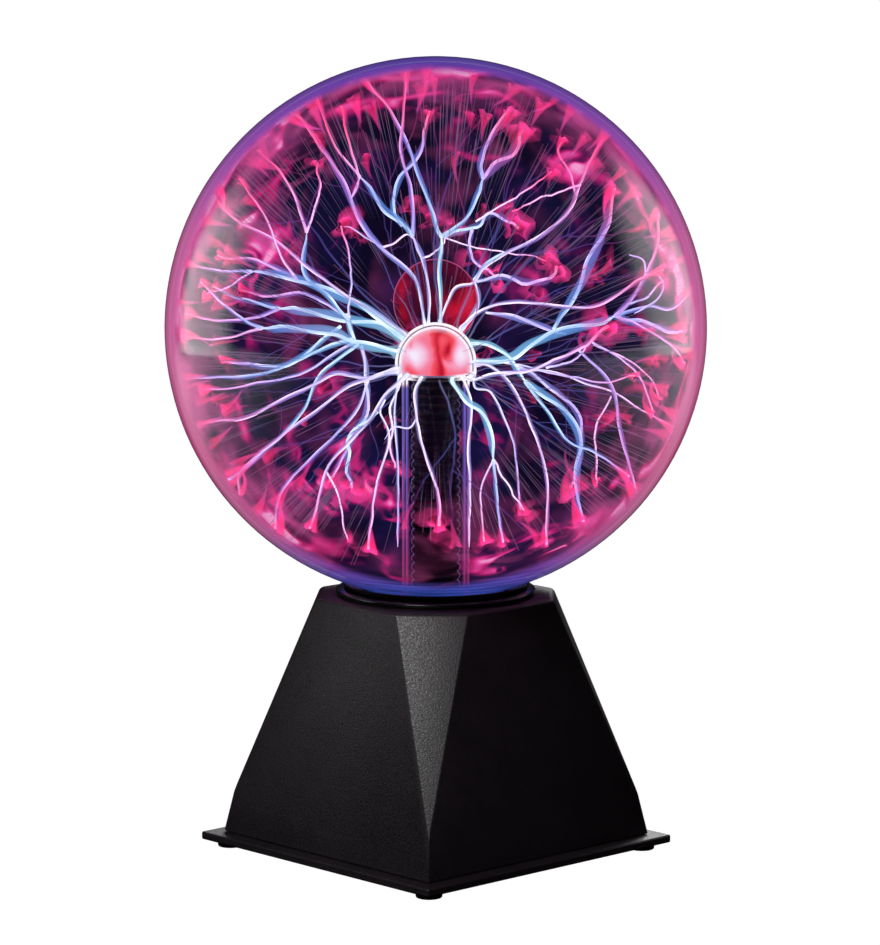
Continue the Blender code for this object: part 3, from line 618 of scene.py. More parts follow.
@dataclass(frozen=True)
class StemGlass:
    """Drawn glass tube: clear in the middle, with painted violet and rose lines down its outline
    that stand in for reflections of the discharge, and a painted near-white rim round the bulb."""

    bulb_z: float

    def build(self) -> bpy.types.Material:
        """Builds the tube's glass.

        Returns:
            The material of stem and bulb.
        """
        made, tree = fresh_material("drawn_glass")
        place = add_node(tree, "TexCoord").outputs["Object"]
        height = add_node(tree, "SeparateXYZ", {"Vector": place}).outputs["Z"]
        level = add_node(
            tree, "MapRange",
            {"Value": height, "From Min": self.bulb_z - 90 * MM, "From Max": self.bulb_z},
        )
        # Colours of the painted reflections down the outline: rose low, violet high, near white at
        # the bulb.
        colour = add_node(
            tree, "ValToRGB", {"Fac": level},
            ((0.0, "#8a1f5c"), (0.2, "#a8407c"), (0.55, "#7c5cb4"), (0.945, "#7a6fd0"),
             (0.955, "#ffd0dc"), (0.965, "#fff4fa")),
        )
        # Painted reflection: the glow grows towards the outline.
        slant = add_node(tree, "LayerWeight").outputs["Facing"]
        painted_edge_glow = add_node(
            tree, "MapRange",
            {"Value": slant, "From Min": 0.5, "From Max": 0.9, "To Max": 0.9},
            interpolation_type="SMOOTHSTEP",
        )
        # Painted highlight: a near-white rim round the bulb.
        painted_rim_highlight = add_node(
            tree, "MapRange",
            {"Value": slant, "From Min": 0.58, "From Max": 0.72},
            interpolation_type="SMOOTHSTEP",
        )
        bulb = add_node(tree, "MapRange", {"Value": level, "From Min": 0.955, "From Max": 0.965})
        amount = add_node(tree, "Mix", {0: bulb, 2: painted_edge_glow, 3: painted_rim_highlight}, data_type="FLOAT")
        glow = add_node(tree, "Emission", {"Color": colour, "Strength": 1.2})
        clear = add_node(tree, "BsdfTransparent", {"Color": (0.9, 0.9, 0.94, 1.0)})
        clear_with_painted_glow = add_node(tree, "MixShader", {"Fac": amount, 1: clear, 2: glow})
        coated = glass_coat(tree, clear_with_painted_glow, 0.04)
        put_out(tree, add_node(tree, "MixShader", {"Fac": bulb, 1: coated, 2: clear_with_painted_glow}))
        return made


@dataclass(frozen=True)
class RibbedNylon:
    """Black nylon inside the stem, with painted violet highlights on the ribs' crests along the
    outline.
    """

    name: str = "lit_nylon"

    def build(self) -> bpy.types.Material:
        """Builds the material.

        Returns:
            Black nylon with painted highlights on its crests.
        """
        made, tree = fresh_material(self.name)
        place = add_node(tree, "TexCoord").outputs["Object"]
        streak = add_node(tree, "Mapping", {"Vector": place, "Scale": (700.0, 700.0, 12.0)})
        flow = add_node(tree, "TexNoise", {"Vector": streak, "Scale": 1.0})
        black = add_node(tree, "ValToRGB", {"Fac": flow}, ((0.35, "#040308"), (0.7, "#14101e")))
        # Painted highlight: the crests near the outline glow violet.
        slant = add_node(tree, "LayerWeight").outputs["Facing"]
        painted_crest_highlight = add_node(
            tree, "MapRange", {"Value": slant, "From Min": 0.78, "From Max": 0.98, "To Max": 0.7},
            interpolation_type="SMOOTHSTEP",
        )
        shader = add_node(
            tree, "BsdfPrincipled",
            {"Base Color": black, "Roughness": 0.4, "IOR": 1.53,
             "Emission Color": linear("#c0aee8"), "Emission Strength": painted_crest_highlight},
        )
        put_out(tree, shader)
        return made


# ---------------------------------------------------------------- modelling by operators


def deselect() -> None:
    """Leaves edit mode and deselects every object."""
    if bpy.context.object and bpy.context.object.mode != "OBJECT":
        bpy.ops.object.mode_set(mode="OBJECT")
    bpy.ops.object.select_all(action="DESELECT")


def take(obj: bpy.types.Object) -> None:
    """Makes a piece the only selected and active one."""
    deselect()
    obj.select_set(True)
    bpy.context.view_layer.objects.active = obj


def set_down(obj: bpy.types.Object, place: Matrix) -> None:
    """Moves a piece to its place and keeps that place in its mesh.

    Args:
        obj: the piece, modelled at the origin.
        place: where its own axes go, in the part's frame.
    """
    take(obj)
    obj.matrix_world = place @ obj.matrix_world
    bpy.ops.object.transform_apply(location=True, rotation=True, scale=True)


def turned(
    name: str, profile: list[tuple[float, float]], steps: int = 64, closed: bool = True
) -> bpy.types.Object:
    """Turns a profile about Z.

    Args:
        name: the piece's name.
        profile: (radius, height) points in millimetres, in order.
        steps: how many steps the turn has.
        closed: whether the last point joins the first.

    Returns:
        The turned piece, with merged poles and outward faces.
    """
    deselect()
    bpy.ops.mesh.primitive_plane_add(size=MM)
    obj = bpy.context.object
    obj.name = name
    points = [Vector((r * MM, 0.0, z * MM)) for r, z in profile]
    if closed and not (profile[0][0] == 0 and profile[-1][0] == 0):
        points.append(points[0])
    bpy.ops.object.mode_set(mode="EDIT")
    bpy.ops.mesh.select_mode(type="VERT")
    bpy.ops.mesh.select_all(action="SELECT")
    bpy.ops.mesh.merge(type="CENTER")
    bpy.ops.transform.translate(value=points[0])
    for here, there in zip(points, points[1:]):
        bpy.ops.mesh.extrude_region_move(TRANSFORM_OT_translate={"value": there - here})
    bpy.ops.mesh.select_all(action="SELECT")
    bpy.ops.mesh.spin(steps=steps, angle=math.tau, center=(0, 0, 0), axis=(0, 0, 1))
    bpy.ops.mesh.select_all(action="SELECT")
    bpy.ops.mesh.remove_doubles(threshold=2e-6)
    bpy.ops.mesh.normals_make_consistent(inside=False)
    bpy.ops.object.mode_set(mode="OBJECT")
    bpy.ops.object.shade_smooth_by_angle(angle=math.radians(32))
    return obj


def cube(name: str, low: Vector, high: Vector) -> bpy.types.Object:
    """Adds a box from its lowest to its highest corner.

    Args:
        name: the piece's name.
        low: lowest corner, in metres.
        high: highest corner, in metres.

    Returns:
        The box, with its size in its mesh.
    """
    deselect()
    bpy.ops.mesh.primitive_cube_add(size=1.0, location=(low + high) / 2, scale=high - low)
    obj = bpy.context.object
    obj.name = name
    bpy.ops.object.transform_apply(location=True, rotation=True, scale=True)
    return obj


def pick(obj: bpy.types.Object, kind: str, test: Any) -> None:
    """Selects faces or edges of a piece in edit mode by a test.

    Args:
        obj: the piece, which is left in edit mode.
        kind: FACE or EDGE.
        test: takes the bmesh face or edge and says whether it is wanted.
    """
    take(obj)
    bpy.ops.object.mode_set(mode="EDIT")
    bpy.ops.mesh.select_mode(type=kind)
    bpy.ops.mesh.select_all(action="DESELECT")
    held = bmesh.from_edit_mesh(obj.data)
    for item in held.faces if kind == "FACE" else held.edges:
        item.select_set(bool(test(item)))
    bmesh.update_edit_mesh(obj.data)


def cut(obj: bpy.types.Object, cutter: bpy.types.Object, operation: str = "DIFFERENCE") -> None:
    """Cuts one piece with another, or joins them, and removes the cutter.

    Args:
        obj: the piece that stays.
        cutter: the piece that goes.
        operation: DIFFERENCE or UNION.
    """
    take(obj)
    step = obj.modifiers.new("cut", "BOOLEAN")
    step.operation = operation
    step.solver = "EXACT"
    step.object = cutter
    bpy.ops.object.modifier_apply(modifier=step.name)
    bpy.data.objects.remove(cutter)


def round_edges(obj: bpy.types.Object, width_mm: float, segments: int = 3) -> None:
    """Bevels a piece's sharp edges with an applied modifier.

    Args:
        obj: the piece.
        width_mm: the bevel's width in millimetres.
        segments: its steps.
    """
    take(obj)
    step = obj.modifiers.new("edges", "BEVEL")
    step.width = width_mm * MM
    step.segments = segments
    step.limit_method = "ANGLE"
    step.angle_limit = math.radians(20)
    bpy.ops.object.modifier_apply(modifier=step.name)
    bpy.ops.object.shade_smooth_by_angle(angle=math.radians(32))


def arc(
    centre: tuple[float, float], radius: float, start: float, end: float, steps: int
) -> list[tuple[float, float]]:
    """Points of a profile along a circle.

    Args:
        centre: the circle's (radius, height) in millimetres.
        radius: its radius in millimetres.
        start: first angle in degrees, from outwards towards up.
        end: last angle in degrees.
        steps: how many steps lie between them.

    Returns:
        The points, both ends included.
    """
    angles = [math.radians(start + (end - start) * i / steps) for i in range(steps + 1)]
    return [(centre[0] + radius * math.cos(a), centre[1] + radius * math.sin(a)) for a in angles]


def sphere(name: str, centre: Vector, radius: float, sides: int) -> bpy.types.Object:
    """Adds a smooth sphere with half as many rings as sides.

    Args:
        name: the piece's name.
        centre: its centre in metres.
        radius: its radius in millimetres.
        sides: how many sides it has round its axis.

    Returns:
        The sphere, its place and size applied.
    """
    deselect()
    bpy.ops.mesh.primitive_uv_sphere_add(
        segments=sides, ring_count=sides // 2, radius=radius * MM, location=centre
    )
    obj = bpy.context.object
    obj.name = name
    bpy.ops.object.transform_apply(location=True, rotation=True, scale=True)
    bpy.ops.object.shade_smooth()
    return obj


def place_piece(
    obj: bpy.types.Object, material: bpy.types.Material, body: str, slot: str, *nodes: str
) -> None:
    """Dresses a finished piece and ties it to the CAD model.

    Args:
        obj: the piece.
        material: what it is dressed in.
        body: the CAD body that it rides on.
        slot: the record's material slot; it is not used.
        *nodes: the CAD nodes that it stands for.
    """
    deselect()
    obj.data.materials.clear()
    dress(obj, material)
    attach(obj, body)
    if nodes:
        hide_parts(*nodes)
    LOG.info("%s: %d faces", obj.name, len(obj.data.polygons))


# ---------------------------------------------------------------- studio


@dataclass
class Studio:
    """A plain white floor with soft boxes: two behind the globe's sides and two cards below
    them, which only the glass sees, and a key, a fill and a rear box for all the rest."""

    azimuth: float = 46.79
    elevation: float = 8.25
    distance: float = 1.5735
    aim_z: float = 0.14457
    lens: float = 158.96
    shift: float = 0.0045
    middle_z: float = 0.18
    floor_r: float = 60.0
    card_away: float = 1.2
    card_z: float = 0.004
    card_size: float = 1.9
    card_power: float = 15.0
    receivers: list[bpy.types.Object] = field(default_factory=list)
    glassware: list[bpy.types.Object] = field(default_factory=list)

    @staticmethod
    def direction(azimuth: float, elevation: float) -> Vector:
        """Unit vector from the object towards a place round it, angles in degrees."""
        a, e = math.radians(azimuth), math.radians(elevation)
        return Vector((math.sin(a) * math.cos(e), -math.cos(a) * math.cos(e), math.sin(e)))

    def camera(self) -> None:
        """Sets up the camera that looks at the stand's front corner."""
        data = bpy.data.cameras.new("camera")
        data.lens = self.lens
        data.sensor_width = 36.0
        data.shift_x = self.shift
        data.clip_start = 0.05
        data.clip_end = 200.0
        obj = bpy.data.objects.new("camera", data)
        bpy.context.scene.collection.objects.link(obj)
        back = self.direction(self.azimuth, self.elevation)
        obj.location = Vector((0, 0, self.aim_z)) + back * self.distance
        obj.rotation_euler = (-back).to_track_quat("-Z", "Y").to_euler()
        bpy.context.scene.camera = obj

    def softbox(
        self, name: str, place: Vector, aim: Vector, size: tuple[float, float], power: float,
        lit: list[bpy.types.Object],
    ) -> None:
        """Adds a rectangular soft light with fading edges.

        Args:
            name: the light's name.
            place: where it stands, in metres.
            aim: the way from the place that it faces back towards it.
            size: its width and height in metres.
            power: its power in watts.
            lit: the only objects that it lights.
        """
        data = bpy.data.lights.new(name, "AREA")
        data.shape = "RECTANGLE"
        data.size, data.size_y = size
        data.energy = power
        data.use_nodes = True
        tree = data.node_tree
        tree.nodes.clear()
        spot = add_node(tree, "NewGeometry").outputs["Parametric"]
        far = add_node(tree, "VectorMath", {0: (1.0, 1.0, 1.0), 1: spot}, operation="SUBTRACT")
        both = add_node(tree, "VectorMath", {0: spot, 1: far}, operation="MULTIPLY")
        sides = add_node(tree, "SeparateXYZ", {"Vector": both}).outputs
        middle = add_node(tree, "Math", {0: sides["X"], 1: sides["Y"]}, operation="MULTIPLY")
        level = add_node(
            tree, "MapRange", {"Value": middle, "From Max": 0.05},
            interpolation_type="SMOOTHSTEP",
        )
        glow = add_node(tree, "Emission", {"Strength": level})
        add_node(tree, "OutputLight", {"Surface": glow})
        obj = bpy.data.objects.new(name, data)
        bpy.context.scene.collection.objects.link(obj)
        obj.location = place
        obj.rotation_euler = (-aim).to_track_quat("-Z", "Y").to_euler()
        obj.visible_camera = False
        group = bpy.data.collections.new(f"{name}_receivers")
        for piece in lit:
            group.objects.link(piece)
        obj.light_linking.receiver_collection = group

    def floor(self) -> bpy.types.Object:
        """Lays the pale floor.

        Returns:
            The floor, which isn't part of the object.
        """
        deselect()
        bpy.ops.mesh.primitive_circle_add(vertices=96, radius=self.floor_r, fill_type="NGON")
        obj = bpy.context.object
        obj.name = "studio_floor"
        made, tree = fresh_material("pale_floor")
        seen = add_node(tree, "LightPath")
        paper = add_node(tree, "BsdfDiffuse", {"Color": (0.20, 0.20, 0.20, 1.0)})
        glow = add_node(tree, "Emission", {"Strength": 1.01})
        sheet = add_node(tree, "BsdfDiffuse", {"Color": (0.22, 0.22, 0.22, 1.0)})
        lit = add_node(tree, "AddShader", {0: glow, 1: sheet})
        put_out(tree, add_node(tree, "MixShader", {"Fac": seen, 1: paper, 2: lit}))
        dress(obj, made)
        return obj

    def world(self) -> None:
        """Surrounds the studio with white that only the camera sees as bright."""
        world = bpy.data.worlds.new("studio")
        world.use_nodes = True
        tree = world.node_tree
        tree.nodes.clear()
        seen = add_node(tree, "LightPath")
        dim = add_node(tree, "Background", {"Color": WHITE, "Strength": 0.02})
        white = add_node(tree, "Background", {"Color": WHITE, "Strength": 1.1})
        mixed = add_node(tree, "MixShader", {"Fac": seen, 1: dim, 2: white})
        add_node(tree, "OutputWorld", {"Surface": mixed})
        bpy.context.scene.world = world

    def light(self) -> None:
        """Sets up the soft boxes round the object."""
        middle = Vector((0.0, 0.0, self.middle_z))
        for name, turn, rise, away, size, power, lit in (
            ("left_box", -113, 4, 1.3, (1.15, 1.5), 18.0, self.glassware),
            ("right_box", 116, 8, 1.3, (1.2, 1.5), 17.0, self.glassware),
            ("key_box", -24, 36, 1.2, (0.6, 0.5), 19.0, self.receivers),
            ("fill_box", -88, 14, 1.2, (0.6, 0.6), 2.4, self.receivers),
            ("rear_box", 166, 34, 1.2, (0.8, 0.6), 34.0, self.receivers),
        ):
            back = self.direction(self.azimuth + turn, rise)
            self.softbox(name, middle + back * away, back, size, power, lit)
        for name, turn in (("left_card", -100), ("right_card", 100)):
            place = self.direction(self.azimuth + turn, 0) * self.card_away
            place.z += self.card_z
            size = (self.card_size, self.card_size)
            self.softbox(name, place, Vector((0, 0, -1)), size, self.card_power, self.glassware)

    def colours(self) -> None:
        """Shows colours as they are, and lets the eye through all the layers of glow."""
        scene = bpy.context.scene
        scene.view_settings.view_transform = "Standard"
        scene.cycles.transparent_max_bounces = 64


# ---------------------------------------------------------------- globe


@dataclass
class Globe:
    """The blown globe with its neck, and the glow on its inner wall over a painted dark backdrop.
    """

    centre_z: float = 199.3
    radius: float = 101.6
    wall: float = 2.2
    neck_r: float = 25.0
    neck_wall: float = 2.0
    fillet: float = 6.0
    neck_z: float = 76.0
    lining_gap: float = 0.5

    @property
    def centre(self) -> Vector:
        """The globe's centre in metres."""
        return Vector((0.0, 0.0, self.centre_z * MM))

    @property
    def lining_r(self) -> float:
        """Radius of the glowing inner wall in millimetres."""
        return self.radius - self.wall - self.lining_gap

    def glass(self) -> None:
        """Turns the glass wall from the crown down to the neck's rim and back up inside."""
        reach = self.radius + self.fillet
        fillet_r = self.neck_r + self.fillet
        fillet_z = self.centre_z - math.sqrt(reach**2 - fillet_r**2)
        meet = -math.degrees(math.acos(fillet_r / reach))
        inner_r = self.radius - self.wall
        neck_in = self.neck_r - self.neck_wall
        inner_meet = -math.degrees(math.acos(neck_in / inner_r))
        outside = [(0, self.centre_z + self.radius)]
        outside += arc((0, self.centre_z), self.radius, 90, meet, 64)[1:]
        outside += arc((fillet_r, fillet_z), self.fillet, 180 + meet, 180, 8)[1:]
        rim = [(self.neck_r, self.neck_z), (neck_in, self.neck_z)]
        inside = arc((0, self.centre_z), inner_r, inner_meet, 90, 64)[:-1]
        inside += [(0, self.centre_z + inner_r)]
        obj = turned("globe_wall", outside + rim + inside, 128, closed=False)
        material = GlobeGlass(self.centre_z * MM, self.radius * MM).build()
        place_piece(obj, material, STAND_BODY, "globe_glass", "globe_glass")

    def lining(self) -> None:
        """Adds the closed shell that carries the glow of the inner wall and its painted dark
        backdrop.
        """
        obj = sphere("wall_glow", self.centre, self.lining_r, 128)
        material = GlowLining(self.centre_z * MM, self.lining_r * MM).build()
        place_piece(obj, material, STAND_BODY, "globe_glass")

    def build(self) -> None:
        """Builds the globe."""
        self.glass()
        self.lining()


# ---------------------------------------------------------------- stem


@dataclass
class Stem:
    """The glass stem with its bulb, the glowing lining and the black ribbed core."""

    radius: float = 12.75
    wall: float = 1.5
    bulb_r: float = 15.3
    bulb_z: float = 186.1
    skirt: float = 4.1
    lip: float = 0.9
    waist: float = 1.2
    waist_drop: float = 2.2
    liner_gap: float = 0.15
    liner_wall: float = 0.8
    liner_rise: float = 0.9
    flare_z: float = 94.0
    flare_r: float = 22.7
    core_r: float = 9.2
    core_rib: float = 0.8
    core_pitch: float = 3.25
    core_ribs: int = 26
    bore: float = 1.6
    azimuth: float = 46.79

    def tube(self) -> None:
        """Turns the tube with the bulb on top and the flare at the foot."""
        skirt_z = self.bulb_z - self.skirt
        inner = self.radius - self.wall
        bulb_in = self.bulb_r - self.wall
        outside = [(0, self.bulb_z + self.bulb_r)]
        outside += arc((0, self.bulb_z), self.bulb_r, 90, 0, 24)[1:]
        outside += arc((self.bulb_r - self.lip, skirt_z + self.lip), self.lip, 0, -75, 5)
        waist = (self.radius + self.waist, skirt_z - self.waist_drop)
        outside += arc(waist, self.waist, 105, 180, 5)
        outside += arc((self.flare_r, self.flare_z), self.flare_r - self.radius, 180, 270, 10)
        inside = arc((self.flare_r, self.flare_z), self.flare_r - inner, 270, 180, 10)
        inside += [(inner, skirt_z - 0.4), (bulb_in, skirt_z + 1.2)]
        inside += arc((0, self.bulb_z), bulb_in, 0, 90, 24)[:-1]
        inside += [(0, self.bulb_z + bulb_in)]
        obj = turned("stem_glass", outside + inside, 72, closed=False)
        material = StemGlass((self.bulb_z - self.skirt) * MM).build()
        place_piece(obj, material, STAND_BODY, "globe_glass", "stem_tube")

    def liner(self) -> None:
        """Turns the glowing lining of the bulb."""
        radius, wall = self.bulb_r - self.wall - self.liner_gap, self.liner_wall
        low = self.bulb_z - self.skirt + self.liner_rise
        outside = [(0, self.bulb_z + radius)]
        outside += arc((0, self.bulb_z), radius, 90, 0, 20)[1:] + [(radius, low)]
        inside = [(radius - wall, low)] + arc((0, self.bulb_z), radius - wall, 0, 90, 20)[:-1]
        inside += [(0, self.bulb_z + radius - wall)]
        obj = turned("electrode_dome", outside + inside, 64, closed=False)
        material = ElectrodeGlow(self.bulb_z * MM, self.azimuth).build()
        place_piece(obj, material, STAND_BODY, "graphite_coating", "electrode_liner")

    def core(self) -> None:
        """Turns the ribbed core, its ribs as rounded saw teeth."""
        low = self.flare_z + 3.0
        root = self.core_r - self.core_rib
        points = []
        for i in range(self.core_ribs):
            z = low + i * self.core_pitch
            points += [(root, z), (root, z + 0.55), (self.core_r - 0.12, z + 1.25),
                       (self.core_r, z + 1.7), (self.core_r, z + 2.3), (self.core_r - 0.2, z + 2.7)]
        top = low + self.core_ribs * self.core_pitch
        points += [(root, top), (self.bore, top), (self.bore, low)]
        obj = turned("ribbed_core", points, 48)
        place_piece(obj, RibbedNylon().build(), STAND_BODY, "black_nylon", "stem_core")

    def build(self) -> None:
        """Builds the stem."""
        self.tube()
        self.liner()
        self.core()


# ---------------------------------------------------------------- discharge


@dataclass(frozen=True)
class Streamer:
    """One thread of the discharge, drawn in the upright plane that faces the stand's front
    corner, with its branches.

    route holds (across, up) points in millimetres from the globe's centre. depth is how far
    the thread's end lies in front of that plane, or LANDS_NEAR or LANDS_FAR where it ends on the
    glass. radii are its radii in millimetres at the root, the middle and the tip.
    """

    route: tuple[tuple[float, float], ...]
    radii: tuple[float, float, float]
    tint: Tint
    depth: float
    root_depth: float = 0.0
    forks: tuple["Streamer", ...] = ()
    loose: bool = False


LANDS_NEAR = 1000.0
LANDS_FAR = -1000.0
ICE, VIOLET, ROSE = Tint.ICE, Tint.VIOLET, Tint.ROSE

UPPER = (
    Streamer(
        ((1.6, 2.5), (1.2, 15.4), (1.3, 24.2), (2.1, 34.0)), (0.35, 0.6, 1.3), ICE, 5.0,
        forks=(
            Streamer(((2.1, 34.0), (-0.2, 38.0), (-5.1, 53.7), (-10.6, 67.6), (-14.8, 75.2),
                      (-18.2, 81.4), (-26.6, 92.5)), (0.9, 0.75, 0.4), ICE, LANDS_NEAR),
            Streamer(((2.1, 34.0), (10.9, 40.5), (15.1, 49.5), (17.9, 57.2)), (1.1, 0.8, 1.4),
                     ICE, -14.0, forks=(
                Streamer(((17.9, 57.2), (16.5, 63.4), (19.2, 70.3), (25.5, 80.7), (28.2, 85.5)),
                         (1.2, 1.1, 0.8), ICE, LANDS_FAR),
                Streamer(((17.9, 57.2), (23.4, 62.7), (29.0, 68.3), (33.8, 78.3)),
                         (1.6, 1.9, 1.0), VIOLET, LANDS_FAR),
            )),
            Streamer(((2.1, 34.0), (15.1, 39.8), (20.6, 44.7), (26.9, 45.4), (32.4, 42.6)),
                     (1.2, 1.1, 0.8), ICE, LANDS_FAR),
            Streamer(((15.1, 39.8), (26.9, 45.4), (33.0, 49.0), (41.5, 53.6)),
                     (0.35, 0.3, 0.2), ROSE, LANDS_NEAR),
            Streamer(((2.1, 34.0), (13.0, 31.5), (25.5, 30.2), (36.6, 30.8), (43.5, 29.4)),
                     (0.3, 0.25, 0.2), ROSE, LANDS_FAR),
        ),
    ),
    Streamer(
        ((-2.8, 2.3), (-3.2, 12.8), (-5.0, 26.0), (-8.6, 34.0)), (0.3, 0.5, 1.1), VIOLET, 9.0,
        forks=(
            Streamer(((-8.6, 34.0), (-13.0, 39.5), (-19.6, 44.0), (-28.0, 55.1)), (1.1, 1.2, 0.8),
                     ICE, 22.0, forks=(
                Streamer(((-28.0, 55.1), (-29.6, 58.5), (-33.5, 75.2), (-34.4, 79.0)),
                         (0.5, 0.45, 0.4), ROSE, LANDS_NEAR),
                Streamer(((-28.0, 55.1), (-35.6, 64.1), (-41.1, 77.3), (-43.9, 84.2)),
                         (0.5, 0.4, 0.4), ROSE, LANDS_NEAR),
                Streamer(((-28.0, 55.1), (-31.5, 47.0), (-28.9, 51.0), (-29.3, 57.9)),
                         (0.3, 0.25, 0.2), VIOLET, 24.0),
            )),
            Streamer(((-8.6, 34.0), (-8.5, 42.6), (-9.9, 53.0), (-12.7, 63.4), (-12.7, 71.8),
                      (-11.3, 91.1), (-11.5, 95.0)), (0.9, 0.6, 0.35), VIOLET, LANDS_NEAR),
            Streamer(((-12.5, 38.0), (-16.2, 44.0), (-14.5, 54.0), (-9.5, 62.5), (-5.5, 70.0),
                      (-3.8, 77.3), (-2.3, 85.5)), (1.0, 1.0, 0.5), ICE, LANDS_FAR),
            Streamer(((-5.0, 26.0), (1.0, 30.5), (4.0, 36.5), (7.0, 43.0)), (0.5, 0.35, 0.25),
                     ROSE, LANDS_FAR),
        ),
    ),
    Streamer(((-4.4, 3.0), (-6.5, 13.5), (-10.6, 21.5), (-21.0, 30.8), (-30.0, 42.6),
              (-35.6, 55.1), (-42.5, 67.6), (-48.8, 75.9), (-54.0, 79.0)), (0.25, 0.9, 0.6),
             VIOLET, LANDS_NEAR),
    Streamer(((-20.0, 30.0), (-15.6, 31.5), (-11.0, 34.6), (-8.6, 33.0)), (0.4, 0.35, 0.35),
             ROSE, 12.0, 6.0),
    Streamer(((-20.4, 30.4), (-26.0, 33.5), (-31.5, 36.6), (-34.2, 37.0)), (0.4, 0.25, 0.35),
             VIOLET, 18.0, 6.0),
    Streamer(((1.9, 4.0), (6.8, 14.3), (14.4, 17.0), (17.9, 22.5), (25.5, 28.1), (39.3, 34.3),
              (49.0, 43.3), (53.2, 53.0), (58.0, 62.0), (64.8, 72.4)), (0.3, 0.6, 0.5),
             ROSE, LANDS_NEAR),
    Streamer(((44.9, 0.4), (49.7, 9.4), (56.6, 20.4), (61.5, 32.3), (65.6, 42.6), (69.2, 55.4)),
             (0.7, 2.0, 0.6), ICE, LANDS_FAR, -26.0),
    Streamer(((53.2, 51.6), (51.0, 60.0), (47.5, 68.5), (49.0, 74.5)), (0.4, 0.5, 0.4), ROSE,
             LANDS_FAR, -20.0),
    Streamer(((53.2, 51.6), (42.0, 50.5), (30.3, 48.9)), (0.4, 0.35, 0.2), ROSE, LANDS_FAR, 30.0),
    Streamer(((14.4, 18.0), (25.5, 20.4), (36.6, 19.7), (42.8, 20.5), (47.6, 27.0)),
             (0.6, 1.4, 1.0), VIOLET, LANDS_FAR, -10.0),
    Streamer(((13.7, 37.5), (12.4, 32.5), (14.6, 28.5), (19.0, 26.0), (23.5, 24.0)),
             (0.9, 0.8, 0.6), VIOLET, LANDS_FAR, -16.0),
    Streamer(((11.6, 1.7), (15.0, 6.5), (16.6, 12.0), (15.0, 17.4), (14.4, 18.0)),
             (0.5, 0.9, 0.7), VIOLET, -10.0),
    Streamer(((14.4, 18.0), (18.5, 23.5), (22.0, 26.0), (25.5, 28.1)), (0.7, 0.8, 0.8), ICE,
             8.0, 0.0),
)

